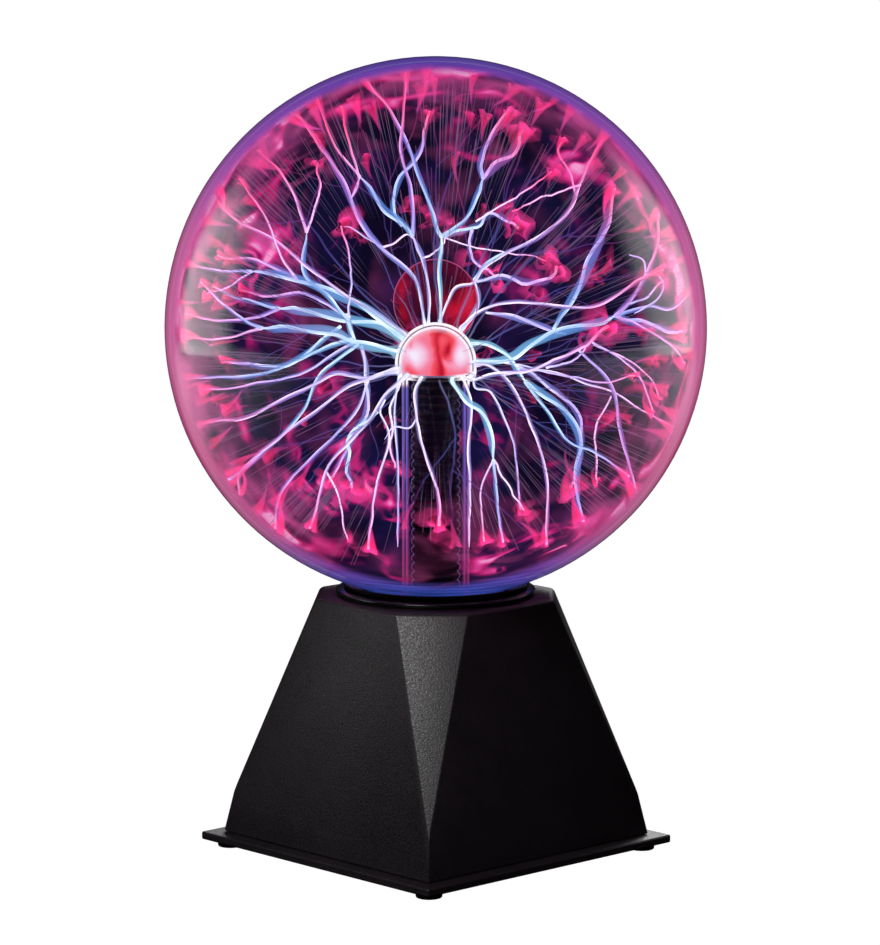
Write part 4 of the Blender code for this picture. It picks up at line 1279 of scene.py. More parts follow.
RIGHT = (
    Streamer(
        ((14.6, -12.7), (21.2, -12.7), (27.9, -10.7), (35.3, -6.0), (46.3, -1.8), (58.0, 1.4),
         (67.1, 4.5)), (1.0, 1.7, 1.5), ICE, 6.0,
        forks=(
            Streamer(((67.1, 4.5), (76.8, 15.6), (80.9, 28.8), (81.6, 40.5)), (1.2, 0.8, 0.5),
                     VIOLET, LANDS_NEAR),
            Streamer(((67.1, 4.5), (72.0, 8.5), (79.5, 12.0), (87.9, 19.6)), (0.9, 0.5, 0.3),
                     ICE, LANDS_FAR),
            Streamer(((67.1, 4.5), (79.5, 7.9), (87.0, 7.0), (95.2, 12.8)), (0.9, 0.6, 0.3),
                     ICE, LANDS_NEAR),
            Streamer(((67.1, 4.5), (74.0, 2.2), (85.0, 0.6), (95.0, 0.0)), (1.6, 1.5, 0.8),
                     ICE, LANDS_FAR),
            Streamer(((67.1, 4.5), (76.0, 0.0), (86.0, -6.0), (91.0, -14.0)), (0.8, 0.5, 0.3),
                     VIOLET, LANDS_NEAR),
        ),
    ),
    Streamer(
        ((13.8, -5.7), (19.8, -6.0), (25.0, -9.0), (28.5, -13.0), (33.2, -20.1)),
        (0.9, 0.8, 1.2), ICE, 14.0,
        forks=(
            Streamer(((33.2, -20.1), (44.6, -28.1), (50.6, -35.5), (53.3, -43.5), (52.0, -53.6),
                      (52.6, -63.6), (54.0, -72.0)), (1.4, 1.3, 0.6), ICE, LANDS_NEAR),
            Streamer(((33.2, -20.1), (39.3, -28.1), (44.6, -37.5), (49.3, -42.9), (58.0, -46.2),
                      (70.7, -55.6)), (0.9, 0.5, 0.3), ICE, LANDS_NEAR),
            Streamer(((30.0, -14.5), (38.0, -18.5), (47.5, -25.5), (54.5, -34.0), (56.0, -46.0),
                      (52.5, -60.0)), (0.9, 1.0, 0.7), VIOLET, LANDS_FAR),
        ),
    ),
    Streamer(((13.8, -19.4), (24.5, -17.7), (41.3, -14.7), (52.6, -8.7), (61.4, -2.0)),
             (0.5, 0.7, 0.8), ROSE, LANDS_NEAR, 4.0),
    Streamer(((42.0, -14.5), (51.0, -12.0), (57.0, -7.0), (62.0, -1.0)), (0.5, 0.5, 0.6), VIOLET,
             LANDS_FAR, -12.0),
    Streamer(((26.0, -13.0), (41.3, -16.7), (51.3, -19.4), (60.7, -21.4), (71.4, -19.4)),
             (0.4, 0.35, 0.2), VIOLET, LANDS_NEAR),
    Streamer(((24.5, -17.7), (42.0, -16.2), (56.0, -21.0), (66.0, -24.8), (78.1, -32.1),
              (88.1, -37.5)), (0.35, 0.35, 0.2), ROSE, LANDS_NEAR, 4.0),
    Streamer(((52.6, -8.7), (60.7, -16.7), (66.7, -26.1), (68.7, -36.8), (71.4, -49.5),
              (74.8, -62.3)), (0.5, 0.7, 0.5), VIOLET, LANDS_NEAR, 24.0),
    Streamer(((66.2, -25.5), (61.5, -36.0), (61.0, -46.0), (62.5, -58.0)), (0.3, 0.4, 0.4), ROSE,
             LANDS_FAR, -10.0),
    Streamer(((58.0, -6.0), (68.1, -12.0), (74.8, -19.4), (78.8, -31.5)), (0.4, 0.35, 0.25),
             VIOLET, LANDS_NEAR, 20.0),
    Streamer(((60.0, -5.5), (72.0, -10.0), (82.0, -18.0), (86.0, -26.0)), (0.4, 0.3, 0.25),
             ROSE, LANDS_FAR, -20.0),
    Streamer(((10.5, 1.0), (18.6, 7.3), (29.0, 9.4), (39.3, 8.0), (53.2, 6.6), (63.6, 9.4),
              (74.0, 15.6), (82.6, 19.5)), (0.5, 0.5, 0.5), ROSE, LANDS_NEAR),
    Streamer(((19.0, 6.5), (30.0, 4.5), (42.0, 1.5), (50.0, -1.0)), (0.4, 1.2, 0.6), VIOLET,
             -34.0, -18.0, loose=True),
    Streamer(((71.2, 26.0), (76.1, 24.0), (77.5, 17.7)), (0.2, 0.35, 0.3), ICE, 20.0, 30.0),
    Streamer(((80.9, 20.4), (83.7, 14.9), (81.6, 9.4), (74.0, 5.2)), (0.3, 0.4, 0.4), ICE, 10.0,
             26.0),
)

LOWER = (
    Streamer(((19.8, -14.1), (26.6, -19.4), (31.9, -28.1), (35.9, -37.5), (39.3, -50.2),
              (41.3, -63.6), (40.6, -80.4)), (0.6, 0.45, 0.4), ROSE, LANDS_NEAR, 4.0),
    Streamer(
        ((6.5, -20.8), (11.8, -27.5), (17.2, -32.1), (19.8, -40.1), (21.2, -49.5)),
        (0.6, 1.2, 0.9), ICE, 30.0, 11.0,
        forks=(
            Streamer(((21.2, -49.5), (17.2, -58.9), (16.6, -68.0), (17.5, -79.0)),
                     (0.4, 0.3, 0.25), ROSE, LANDS_NEAR),
            Streamer(((21.2, -49.5), (22.5, -63.6), (24.5, -79.4)), (0.7, 0.6, 0.35), ICE,
                     LANDS_NEAR),
            Streamer(((21.2, -49.5), (28.5, -60.9), (34.6, -69.0)), (0.5, 0.4, 0.4), ROSE,
                     LANDS_FAR),
        ),
    ),
    Streamer(((15.2, -22.1), (21.2, -24.1), (26.6, -34.8), (29.9, -43.5), (31.2, -53.6),
              (33.2, -69.0)), (0.35, 0.3, 0.3), VIOLET, LANDS_FAR, -6.0),
    Streamer(((11.1, -21.4), (12.8, -30.0), (12.6, -50.0), (12.2, -66.0), (12.4, -82.0)),
             (0.3, 0.45, 0.3), ROSE, 14.0, 10.0),
    Streamer(((-5.9, -20.0), (-7.4, -24.4), (-6.8, -37.7), (-2.8, -49.1), (0.3, -59.8),
              (1.2, -73.1)), (0.6, 0.45, 0.6), ROSE, LANDS_NEAR, 13.0),
    Streamer(((-7.0, -34.0), (-10.0, -37.6), (-16.0, -37.5), (-19.0, -42.0)), (0.3, 0.3, 0.2),
             VIOLET, 20.0, 22.0),
    Streamer(
        ((-11.1, -18.1), (-18.5, -25.5), (-24.5, -35.5), (-33.2, -44.2), (-39.9, -53.6),
         (-45.9, -74.5)), (0.8, 0.5, 0.4), ROSE, LANDS_NEAR, 8.0,
    ),
    Streamer(((-22.0, -31.5), (-30.0, -38.0), (-34.6, -48.0), (-33.0, -60.0)), (0.7, 1.4, 0.7),
             ICE, LANDS_FAR, 4.0),
    Streamer(((-40.5, -54.0), (-36.5, -62.0), (-35.0, -75.0), (-34.0, -80.0)), (0.4, 0.35, 0.3),
             ROSE, LANDS_FAR, 20.0),
    Streamer(((-19.0, -27.0), (-20.5, -32.1), (-17.8, -41.5), (-21.2, -56.9), (-23.8, -70.3),
              (-24.5, -82.0)), (0.4, 0.45, 0.5), ROSE, LANDS_NEAR, 8.0),
    Streamer(((-14.0, -19.0), (-15.0, -30.0), (-14.4, -50.0), (-14.0, -66.0), (-14.2, -82.0)),
             (0.25, 0.3, 0.3), VIOLET, 10.0, 6.0),
    Streamer(((-13.0, -19.5), (-17.0, -30.0), (-17.4, -42.0), (-16.0, -52.0)), (0.3, 0.5, 0.4),
             ROSE, LANDS_FAR, -8.0),
)

LEFT = (
    Streamer(((-13.0, -1.0), (-24.0, 7.0), (-34.2, 12.4), (-49.4, 24.6), (-61.9, 33.6),
              (-73.0, 39.1), (-79.9, 46.1), (-82.0, 52.3)), (0.7, 0.5, 0.45), ROSE, LANDS_NEAR),
    Streamer(
        ((-13.6, -2.5), (-24.5, 7.0), (-38.6, 13.0), (-52.2, 18.4), (-68.9, 21.1)),
        (1.1, 1.6, 1.0), ICE, 4.0,
        forks=(
            Streamer(((-68.9, 21.1), (-78.0, 21.0), (-86.0, 22.0), (-93.0, 23.6)),
                     (0.8, 0.5, 0.3), ICE, LANDS_NEAR),
            Streamer(((-68.9, 21.1), (-75.0, 17.5), (-82.0, 15.6), (-88.5, 14.2)),
                     (0.5, 0.4, 0.3), VIOLET, LANDS_FAR),
            Streamer(((-52.2, 18.4), (-60.0, 23.0), (-70.0, 26.5), (-84.0, 29.5)),
                     (1.0, 0.9, 0.4), VIOLET, LANDS_FAR),
            Streamer(((-52.2, 18.4), (-58.0, 27.0), (-61.5, 36.0), (-65.0, 44.0), (-71.5, 53.0)),
                     (0.6, 0.4, 0.3), ROSE, LANDS_NEAR),
        ),
    ),
    Streamer(
        ((-14.0, -3.2), (-21.8, 1.3), (-32.4, 3.9), (-38.0, 5.1), (-48.0, 6.5), (-59.0, 7.6)),
        (1.2, 1.8, 1.3), ICE, -6.0,
        forks=(
            Streamer(((-59.0, 7.6), (-66.0, 9.5), (-76.0, 12.0), (-86.0, 18.0)), (1.1, 0.8, 0.4),
                     ICE, LANDS_FAR),
            Streamer(((-59.0, 7.6), (-68.0, 4.0), (-80.0, 2.0), (-92.0, 4.0)), (0.9, 0.6, 0.3),
                     VIOLET, LANDS_NEAR),
        ),
    ),
    Streamer(
        ((-15.4, -8.5), (-24.0, -7.0), (-31.0, -5.4), (-37.7, -1.4), (-51.0, -0.5),
         (-64.7, -0.3)), (1.3, 1.8, 1.2), ICE, 8.0,
        forks=(
            Streamer(((-64.7, -0.3), (-71.0, 2.5), (-77.2, 6.8), (-85.5, 15.1)), (0.9, 0.6, 0.4),
                     ICE, LANDS_NEAR),
            Streamer(((-64.7, -0.3), (-74.0, -3.0), (-84.0, -5.0), (-94.0, -4.0)),
                     (0.7, 0.4, 0.3), ROSE, LANDS_NEAR),
        ),
    ),
    Streamer(((-33.4, 5.5), (-32.4, 2.0), (-31.2, -2.0), (-29.3, -6.5)), (1.3, 1.2, 0.9), ICE,
             0.0),
    Streamer(((-32.5, 4.0), (-32.0, 12.0), (-31.0, 20.0), (-33.5, 33.0)), (0.6, 0.4, 0.25),
             VIOLET, LANDS_NEAR),
    Streamer(((-33.0, 3.5), (-41.5, 12.5), (-48.8, 20.0), (-48.2, 35.6)), (0.6, 0.9, 0.6),
             ICE, 8.0, forks=(
        Streamer(((-48.2, 35.6), (-52.2, 47.4), (-58.4, 57.2), (-65.0, 64.0)), (0.7, 0.5, 0.4),
                 ROSE, LANDS_NEAR),
        Streamer(((-48.2, 35.6), (-45.4, 46.0), (-44.6, 56.5), (-46.0, 66.0)), (0.6, 0.5, 0.4),
                 ROSE, LANDS_FAR),
    )),
    Streamer(((-31.2, -4.0), (-45.9, -9.4), (-66.0, -18.1), (-80.0, -19.0), (-94.0, -19.4)),
             (1.0, 0.7, 0.35), ICE, LANDS_NEAR),
    Streamer(((-30.0, -5.0), (-43.2, -12.7), (-56.6, -18.1), (-70.0, -21.0), (-90.0, -22.5)),
             (0.7, 0.5, 0.3), VIOLET, LANDS_FAR),
    Streamer(((-29.0, -6.0), (-41.9, -16.7), (-48.6, -28.8), (-56.6, -40.1), (-66.0, -49.5),
              (-76.7, -56.9)), (0.8, 0.6, 0.7), ICE, LANDS_NEAR),
    Streamer(
        ((-15.4, -15.6), (-25.2, -18.8), (-36.5, -16.7), (-44.6, -20.8), (-60.0, -28.8),
         (-70.0, -33.5), (-81.4, -34.8), (-88.0, -37.0)), (0.9, 0.6, 0.4), ROSE, LANDS_NEAR,
        4.0),
    Streamer(((-22.0, -18.2), (-32.5, -21.4), (-43.2, -30.2), (-55.3, -39.5), (-71.4, -53.2),
              (-72.4, -62.3)), (0.7, 0.5, 0.45), ROSE, LANDS_NEAR, 6.0),
    Streamer(((-25.2, -19.5), (-30.5, -32.1), (-43.2, -46.2), (-56.6, -60.3), (-59.3, -75.0)),
             (0.5, 0.6, 0.5), VIOLET, LANDS_NEAR, 4.0),
    Streamer(((-28.0, -6.5), (-26.0, -17.0), (-26.5, -30.0), (-32.0, -41.0), (-42.0, -58.0)),
             (0.8, 1.1, 0.5), VIOLET, LANDS_FAR, -6.0),
    Streamer(((-36.0, 1.0), (-50.0, -9.0), (-64.0, -14.0), (-82.0, -11.0)), (0.8, 1.1, 0.5),
             ICE, LANDS_FAR, -12.0),
    Streamer(((-36.0, 6.0), (-50.0, 14.5), (-62.0, 13.5), (-76.0, 17.0)), (0.5, 0.8, 0.4),
             VIOLET, LANDS_FAR, -14.0),
)


@dataclass
class Tubes:
    """Tubes of one mesh, with how far along its thread each point is and how strongly it
    glows."""

    points: list[Vector] = field(default_factory=list)
    faces: list[tuple[int, ...]] = field(default_factory=list)
    along: list[float] = field(default_factory=list)
    power: list[float] = field(default_factory=list)

    def add(
        self, path: list[Vector], radii: list[float], along: list[float], power: list[float],
        sides: int, ragged: float = 0.0,
    ) -> None:
        """Adds a closed tube along a path.

        Args:
            path: the points of its middle line.
            radii: its radius at each point, in metres.
            along: the thread's share at each point, from 0 to 1.
            power: the glow at each point, from 0 to 1.
            sides: how many sides it has.
            ragged: how uneven its last ring is, as a share of its radius.
        """
        first = len(self.points)
        uneven = [
            1 + ragged * 3 * noise.noise(
                path[-1] / MM + Vector((math.cos(a), math.sin(a), 0.0)) * 0.9)
            for a in (math.tau * k / sides for k in range(sides))
        ]
        heading = (path[1] - path[0]).normalized()
        side = heading.orthogonal().normalized()
        for i, middle in enumerate(path):
            ahead = path[min(i + 1, len(path) - 1)] - path[max(i - 1, 0)]
            heading = ahead.normalized() if ahead.length > 1e-9 else heading
            side = (side - heading * side.dot(heading)).normalized()
            other = heading.cross(side)
            for k in range(sides):
                turn = math.tau * k / sides
                rim = side * math.cos(turn) + other * math.sin(turn)
                blend = i / (len(path) - 1)
                width = radii[i] * (1 - blend + blend * max(0.25, uneven[k]))
                self.points.append(middle + rim * width)
            self.along += [along[i]] * sides
            self.power += [power[i]] * sides
        for i in range(len(path) - 1):
            row = first + i * sides
            for k in range(sides):
                nxt = (k + 1) % sides
                self.faces.append((row + k, row + nxt, row + sides + nxt, row + sides + k))
        last = first + (len(path) - 1) * sides
        self.faces.append(tuple(first + k for k in reversed(range(sides))))
        self.faces.append(tuple(last + k for k in range(sides)))

    def build(self, name: str) -> bpy.types.Object:
        """Makes the tubes a piece.

        Args:
            name: the piece's name.

        Returns:
            The piece, with its two attributes.
        """
        mesh = bpy.data.meshes.new(name)
        mesh.from_pydata([tuple(p) for p in self.points], [], self.faces)
        for label, values in (("along", self.along), ("power", self.power)):
            layer = mesh.attributes.new(label, "FLOAT", "POINT")
            layer.data.foreach_set("value", values)
        obj = bpy.data.objects.new(name, mesh)
        bpy.context.scene.collection.objects.link(obj)
        take(obj)
        bpy.ops.object.shade_smooth()
        return obj


@dataclass
class Discharge:
    """All that glows in the gas: threads, their halos, their feet on the glass and fine rays."""

    globe: Globe
    stem: Stem
    azimuth: float
    elevation: float
    samples: int = 6
    foot_length: float = 15.0
    foot_radius: float = 2.7
    wild: int = 46
    rays: int = 260
    ray_start: tuple[float, float] = (0.55, 0.78)
    ray_end: float = 0.98
    ray_width: tuple[float, float] = (0.10, 0.2)
    root_cone: float = 1.5
    root_length: float = 4.0
    root_gap: float = 9.0
    tip_flare: float = 0.8
    tip_length: float = 5.0
    free_tip: float = 0.25
    free_length: float = 6.0
    sways: tuple[tuple[float, float], ...] = ((0.16, 0.35), (0.05, 0.8))
    depth_power: float = 1.25
    bare: float = 0.72
    bubble_r: float = 16.0
    bubble_z: float = 10.0
    seed: int = 7
    threads: dict[Tint, Tubes] = field(default_factory=dict)
    faint: Tubes = field(default_factory=Tubes)
    halos: dict[Tint, Tubes] = field(default_factory=dict)
    feet: Tubes = field(default_factory=Tubes)

    def __post_init__(self) -> None:
        """Sets up the plane that the threads are drawn in."""
        self.threads = {tint: Tubes() for tint in Tint}
        self.halos = {tint: Tubes() for tint in Tint}
        a = math.radians(self.azimuth)
        self.across = Vector((math.cos(a), math.sin(a), 0.0))
        self.near = Studio.direction(self.azimuth, self.elevation)
        self.up = self.near.cross(self.across)
        self.reach = self.globe.lining_r - 0.4
        self.root = Vector((0.0, 0.0, (self.stem.bulb_z - self.globe.centre_z)))
        self.chance = random.Random(self.seed)
        noise.seed_set(self.seed)

    def space(self, across: float, up: float, near: float) -> Vector:
        """A point from the plane's coordinates, in millimetres from the globe's centre."""
        return self.across * across + self.up * up + self.near * near

    @staticmethod
    def curve(points: list[Vector], steps: int) -> list[Vector]:
        """Draws a smooth curve through points.

        Args:
            points: the curve's own points.
            steps: how many steps each stretch gets.

        Returns:
            The points of the curve.
        """
        padded = [2 * points[0] - points[1], *points, 2 * points[-1] - points[-2]]
        found = []
        for a, b, c, d in zip(padded, padded[1:], padded[2:], padded[3:]):
            for i in range(steps):
                t = i / steps
                found.append(
                    0.5 * (2 * b + (c - a) * t + (2 * a - 5 * b + 4 * c - d) * t**2
                           + (3 * b - a - 3 * c + d) * t**3)
                )
        return [*found, points[-1]]

    def thread(
        self, path: list[Vector], radii: tuple[float, float, float], tint: Tint, lands: bool,
        rooted: bool,
    ) -> None:
        """Adds a thread with its halo and its foot.

        Args:
            path: its points, in millimetres from the globe's centre.
            radii: its radii at root, middle and tip, in millimetres.
            tint: its colours.
            lands: whether it ends on the glass.
            rooted: whether it starts on the electrode.
        """
        walked = [0.0]
        for here, there in zip(path, path[1:]):
            walked.append(walked[-1] + (there - here).length)
        total = walked[-1]
        widths, along, shaken = [], [], []
        for point, way in zip(path, walked):
            t = way / total
            width = (
                radii[0] + (radii[1] - radii[0]) * math.sin(t * math.pi) if t < 0.5
                else radii[2] + (radii[1] - radii[2]) * math.sin(t * math.pi)
            )
            if rooted:
                cone = max(0.0, 1 - way / self.root_length) ** 2
                width = (width + 0.12) * (1 + self.root_cone * cone)
            if lands:
                flare = max(0.0, 1 - (total - way) / self.tip_length) ** 2
                width *= 1 + self.tip_flare * flare
            else:
                width *= min(1.0, self.free_tip + (total - way) / self.free_length)
            widths.append(width * MM)
            along.append(min(1.0, (point - self.root).length / (self.reach * 1.02)))
            fine, wide = (noise.noise_vector(point * pitch) * size for pitch, size in self.sways)
            free = min(1.0, way / 8.0, (total - way) / 5.0 + 0.1)
            shaken.append(point + (fine + wide) * free)
        centre = self.globe.centre
        world = [centre + p * MM for p in shaken]
        sides = 8 if max(radii) > 0.7 else 6
        core = [
            min(w, 0.65 * MM, 0.2 * MM + w * (0.3 + 0.4 * max(0.0, 1 - way / self.root_length)))
            for w, way in zip(widths, walked)
        ]
        turn = self.chance.uniform(0, math.tau)
        inner = []
        for i, (point, way) in enumerate(zip(world, walked)):
            ahead = world[min(i + 1, len(world) - 1)] - world[max(i - 1, 0)]
            beside = ahead.cross(self.near).normalized()
            free = min(1.0, way / 9, (total - way) / 6)
            inner.append(point + beside * widths[i] * 0.75 * free * math.sin(turn + way * 0.16))
        self.threads[tint].add(inner, core, along, [1.0] * len(world), sides)
        wide = [w * 0.9 + 0.12 * MM for w in widths]
        fade = [
            0.6 * min(1.0, 0.4 + way / 5, 0.2 + (total - way) / 8) * min(1.0, w / MM + 0.25)
            for way, w in zip(walked, widths)
        ]
        self.halos[tint].add(world, wide, along, fade, 10)
        if lands:
            self.foot(shaken[-1], (shaken[-1] - shaken[-3]).normalized(), max(0.7, radii[2] * 1.6))

    def foot(self, end: Vector, heading: Vector, scale: float, level: float = 1.0) -> None:
        """Adds the funnel of glow where a thread meets the glass.

        Args:
            end: where the thread ends, in millimetres from the globe's centre.
            heading: the way it comes.
            scale: the funnel's size as a share of the usual one.
            level: how strongly it glows.
        """
        outward = end.normalized()
        steps = 7
        path, radii, power = [], [], []
        for i in range(steps + 1):
            t = i / steps
            back = (1 - t) * self.foot_length * scale
            lean = (heading * (1 - t) + outward * t).normalized()
            path.append(self.globe.centre + (end - lean * back) * MM)
            radii.append((0.5 + self.foot_radius * scale * t**2.2) * MM)
            power.append(level * t**0.8)
        for spread, glow in ((1.3, 0.6), (1.9, 0.3), (2.8, 0.0)):
            path.append(path[-1] + outward * 0.04 * MM)
            radii.append(self.foot_radius * scale * spread * MM)
            power.append(level * glow)
        share = [min(1.0, t / steps) for t in range(len(path))]
        self.feet.add(path, radii, share, power, 14, 0.75)

    def grow(self, item: Streamer, root_depth: float) -> None:
        """Adds a drawn thread and its branches.

        Args:
            item: the thread.
            root_depth: how far its root lies in front of the plane, in millimetres.
        """
        lands = abs(item.depth) >= LANDS_NEAR
        tip = item.route[-1]
        depth = item.depth
        if lands:
            room = max(0.0, self.reach**2 - tip[0] ** 2 - tip[1] ** 2)
            depth = math.copysign(math.sqrt(room), item.depth)
        walked = [0.0]
        for here, there in zip(item.route, item.route[1:]):
            walked.append(walked[-1] + math.hypot(there[0] - here[0], there[1] - here[1]))
        points = []
        for (across, up), way in zip(item.route, walked):
            share = (way / walked[-1]) ** self.depth_power
            points.append(self.space(across, up, root_depth + (depth - root_depth) * share))
        nearby = (points[0] - self.root).length < self.stem.bulb_r + self.root_gap
        rooted = nearby and not item.loose
        if rooted:
            points.insert(0, self.start(points[0]))
        self.thread(self.curve(points, self.samples), item.radii, item.tint, lands, rooted)
        points = points[-len(item.route) :]
        for fork in item.forks:
            start = Vector(fork.route[0])
            nearest = min(range(len(points)), key=lambda i: (Vector(item.route[i]) - start).length)
            share = (walked[nearest] / walked[-1]) ** self.depth_power
            self.grow(fork, root_depth + (depth - root_depth) * share)

    def start(self, point: Vector) -> Vector:
        """The place on the electrode where a thread begins.

        Args:
            point: the thread's first point, in millimetres from the globe's centre.

        Returns:
            The nearest place on the dome, or on its lower rim.
        """
        away = point - self.root
        if away.z > -self.stem.skirt:
            return self.root + away.normalized() * (self.stem.bulb_r - 0.3)
        flat = Vector((away.x, away.y, 0.0)).normalized() * (self.stem.bulb_r - 0.5)
        return self.root + flat - Vector((0.0, 0.0, self.stem.skirt - 0.4))

    def drawn(self) -> None:
        """Adds every drawn thread."""
        for item in (*UPPER, *RIGHT, *LOWER, *LEFT):
            self.grow(item, item.root_depth)

    def free(self) -> None:
        """Adds threads evenly in all directions, so that every side of the globe is full."""
        golden = math.pi * (3 - math.sqrt(5))
        for i in range(self.wild):
            z = 1 - 2 * (i + 0.5) / self.wild
            ring = math.sqrt(1 - z * z)
            way = Vector((ring * math.cos(golden * i), ring * math.sin(golden * i), z))
            if z < -self.bare or way.dot(self.near) > self.bare:
                continue
            self.free_thread(way)

    def free_thread(self, way: Vector) -> None:
        """Adds one free thread with a fork.

        Args:
            way: its direction from the electrode.
        """
        chance = self.chance
        start = self.root + way * (self.stem.bulb_r - 0.4)
        if way.z < -0.2:
            start = self.root + Vector((way.x, way.y, -0.25)).normalized() * self.stem.bulb_r
        end = way * self.reach
        side = way.orthogonal().normalized()
        side.rotate(Matrix.Rotation(chance.uniform(0, math.tau), 3, way))
        bow = chance.uniform(4.0, 11.0)
        points = []
        for k in range(6):
            t = k / 5
            lift = Vector((0, 0, 3.5)) * math.sin(math.pi * t)
            swing = side * bow * math.sin(math.pi * t) * math.cos(2.2 * t)
            points.append(start.lerp(end, t) + swing + lift)
        base = chance.uniform(0.22, 0.46)
        self.faint_thread(self.curve(points, self.samples), base)
        for _ in range(2):
            from_point = points[chance.choice((2, 3))]
            turn = Matrix.Rotation(math.radians(chance.uniform(9, 24)), 3, side.cross(way))
            side.rotate(Matrix.Rotation(chance.uniform(1.5, 4.5), 3, way))
            target = (turn @ way).normalized() * self.reach
            middle = from_point.lerp(target, 0.5) + side * chance.uniform(1, 5)
            twig = self.curve([from_point, middle, target], self.samples * 2)
            self.faint_thread(twig, base * 0.7)

    def faint_thread(self, path: list[Vector], radius: float) -> None:
        """Adds a dim thread that lies deeper in the gas.

        Args:
            path: its points, in millimetres from the globe's centre.
            radius: its radius in millimetres.
        """
        along = [min(1.0, (p - self.root).length / self.reach) for p in path]
        count = len(path)
        power = [0.3 * (0.4 + 0.6 * math.sin(math.pi * min(1.0, i / count + 0.2)))
                 for i in range(count)]
        shaken = [p + noise.noise_vector(p * 0.12) * 1.2 for p in path]
        world = [self.globe.centre + p * MM for p in shaken]
        self.faint.add(world, [radius * MM] * count, along, power, 6)
        self.foot(shaken[-1], (shaken[-1] - shaken[-3]).normalized(), 0.8, 0.5)

    def fine_rays(self) -> None:
        """Adds the faint straight rays that fill the gas near the glass."""
        rays = Tubes()
        chance = random.Random(self.seed + 1)
        centre = self.globe.centre
        for _ in range(self.rays):
            z = chance.uniform(-0.85, 0.98)
            turn = chance.uniform(0, math.tau)
            ring = math.sqrt(1 - z * z)
            way = Vector((ring * math.cos(turn), ring * math.sin(turn), z))
            for _ in range(chance.choice((1, 2, 4, 5))):
                jog = Vector([chance.uniform(-0.05, 0.05) for _ in range(3)])
                ray = (way + jog).normalized()
                low = chance.uniform(*self.ray_start)
                share = [low, (low + self.ray_end) / 2, self.ray_end]
                path = [centre + (self.root * (1 - s) + ray * self.reach * s) * MM for s in share]
                width = chance.uniform(*self.ray_width) * MM
                glow = [0.2, chance.uniform(0.3, 0.8), 0.4]
                rays.add(path, [width * 0.4, width, width], share, glow, 3)
        stops = ((0.55, "#3c3158"), (0.8, "#6f6488"), (1.0, "#a05a84"))
        self.lay("fine_rays", rays, HaloGlow("ray_glow", stops, 0.9, 0.35))

    @staticmethod
    def lay(name: str, tubes: Tubes, glow: StreamerGlow | HaloGlow) -> None:
        """Makes tubes a glowing piece in the gas."""
        place_piece(tubes.build(name), glow.build(), STAND_BODY, "globe_glass")

    def bubble(self) -> None:
        """Adds painted reflections over the electrode: a dark red glow on the far side of a shell,
        with a painted pink rim.
        """
        centre = self.globe.centre + Vector((0, 0, self.bubble_z * MM))
        obj = sphere("electrode_bubble", centre, self.bubble_r, 64)
        made, tree = fresh_material("red_gas")
        place = add_node(tree, "TexCoord").outputs["Object"]
        cloud = add_node(tree, "TexNoise", {"Vector": place, "Scale": 45.0})
        colour = add_node(
            tree, "ValToRGB", {"Fac": cloud},
            ((0.35, "#3a0618"), (0.5, "#7c0a22"), (0.62, "#d4122f"), (0.75, "#f02848")),
        )
        amount = add_node(
            tree, "MapRange", {"Value": cloud, "From Min": 0.3, "From Max": 0.65,
                               "To Min": 0.35, "To Max": 0.9},
        )
        # Painted reflection: only the shell's far side shows the red glow.
        inside = add_node(tree, "NewGeometry").outputs["Backfacing"]
        seen = add_node(tree, "Math", {0: amount, 1: inside}, operation="MULTIPLY")
        glow = add_node(tree, "Emission", {"Color": colour, "Strength": 0.9})
        clear = add_node(tree, "BsdfTransparent")
        gas = add_node(tree, "MixShader", {"Fac": seen, 1: clear, 2: glow})
        # Painted highlight: a pink rim towards the outline.
        slant = add_node(tree, "LayerWeight").outputs["Facing"]
        rim = add_node(
            tree, "MapRange", {"Value": slant, "From Min": 0.72, "From Max": 0.92, "To Max": 0.5},
            interpolation_type="SMOOTHSTEP",
        )
        pink = add_node(tree, "Emission", {"Color": linear("#e86aa4"), "Strength": 0.9})
        put_out(tree, add_node(tree, "MixShader", {"Fac": rim, 1: gas, 2: pink}))
        place_piece(obj, made, STAND_BODY, "globe_glass")

    def build(self) -> None:
        """Builds the whole discharge."""
        self.drawn()
        self.free()
        for tint, tubes in self.threads.items():
            self.lay(f"streamers_{tint.name.lower()}", tubes, StreamerGlow(tint))
        ribbons = {
            Tint.ICE: ((0.0, "#b8ecf4"), (0.3, "#7cbcee"), (0.6, "#5f90e2"), (0.85, "#7c70d0"),
                       (1.0, "#e0528e")),
            Tint.VIOLET: ((0.0, "#c8d8f8"), (0.3, "#8f9cec"), (0.6, "#7f74d8"), (0.85, "#a864c4"),
                          (1.0, "#f04c8e")),
            Tint.ROSE: ((0.0, "#d8e0f8"), (0.3, "#a49cee"), (0.6, "#a484e0"), (0.85, "#d468bc"),
                        (1.0, "#ff4880")),
        }
        dim = ((0.0, "#cfc4f4"), (0.35, "#6f7ad6"), (0.7, "#6a50b4"), (1.0, "#c03a86"))
        self.lay("streamers_faint", self.faint, HaloGlow("faint_glow", dim, 0.8, 0.6))
        for tint, stops in ribbons.items():
            glow = HaloGlow(f"ribbon_{tint.name.lower()}", stops, 1.0, 0.9)
            self.lay(f"ribbons_{tint.name.lower()}", self.halos[tint], glow)
        rose = ((0.0, "#d860c4"), (0.4, "#ee3c90"), (0.8, "#ec2868"), (1.0, "#f03c8c"))
        self.lay("streamer_feet", self.feet, HaloGlow("foot_glow", rose, 0.5, 1.7, 1.5))
        self.fine_rays()
        self.bubble()


# ---------------------------------------------------------------- stand


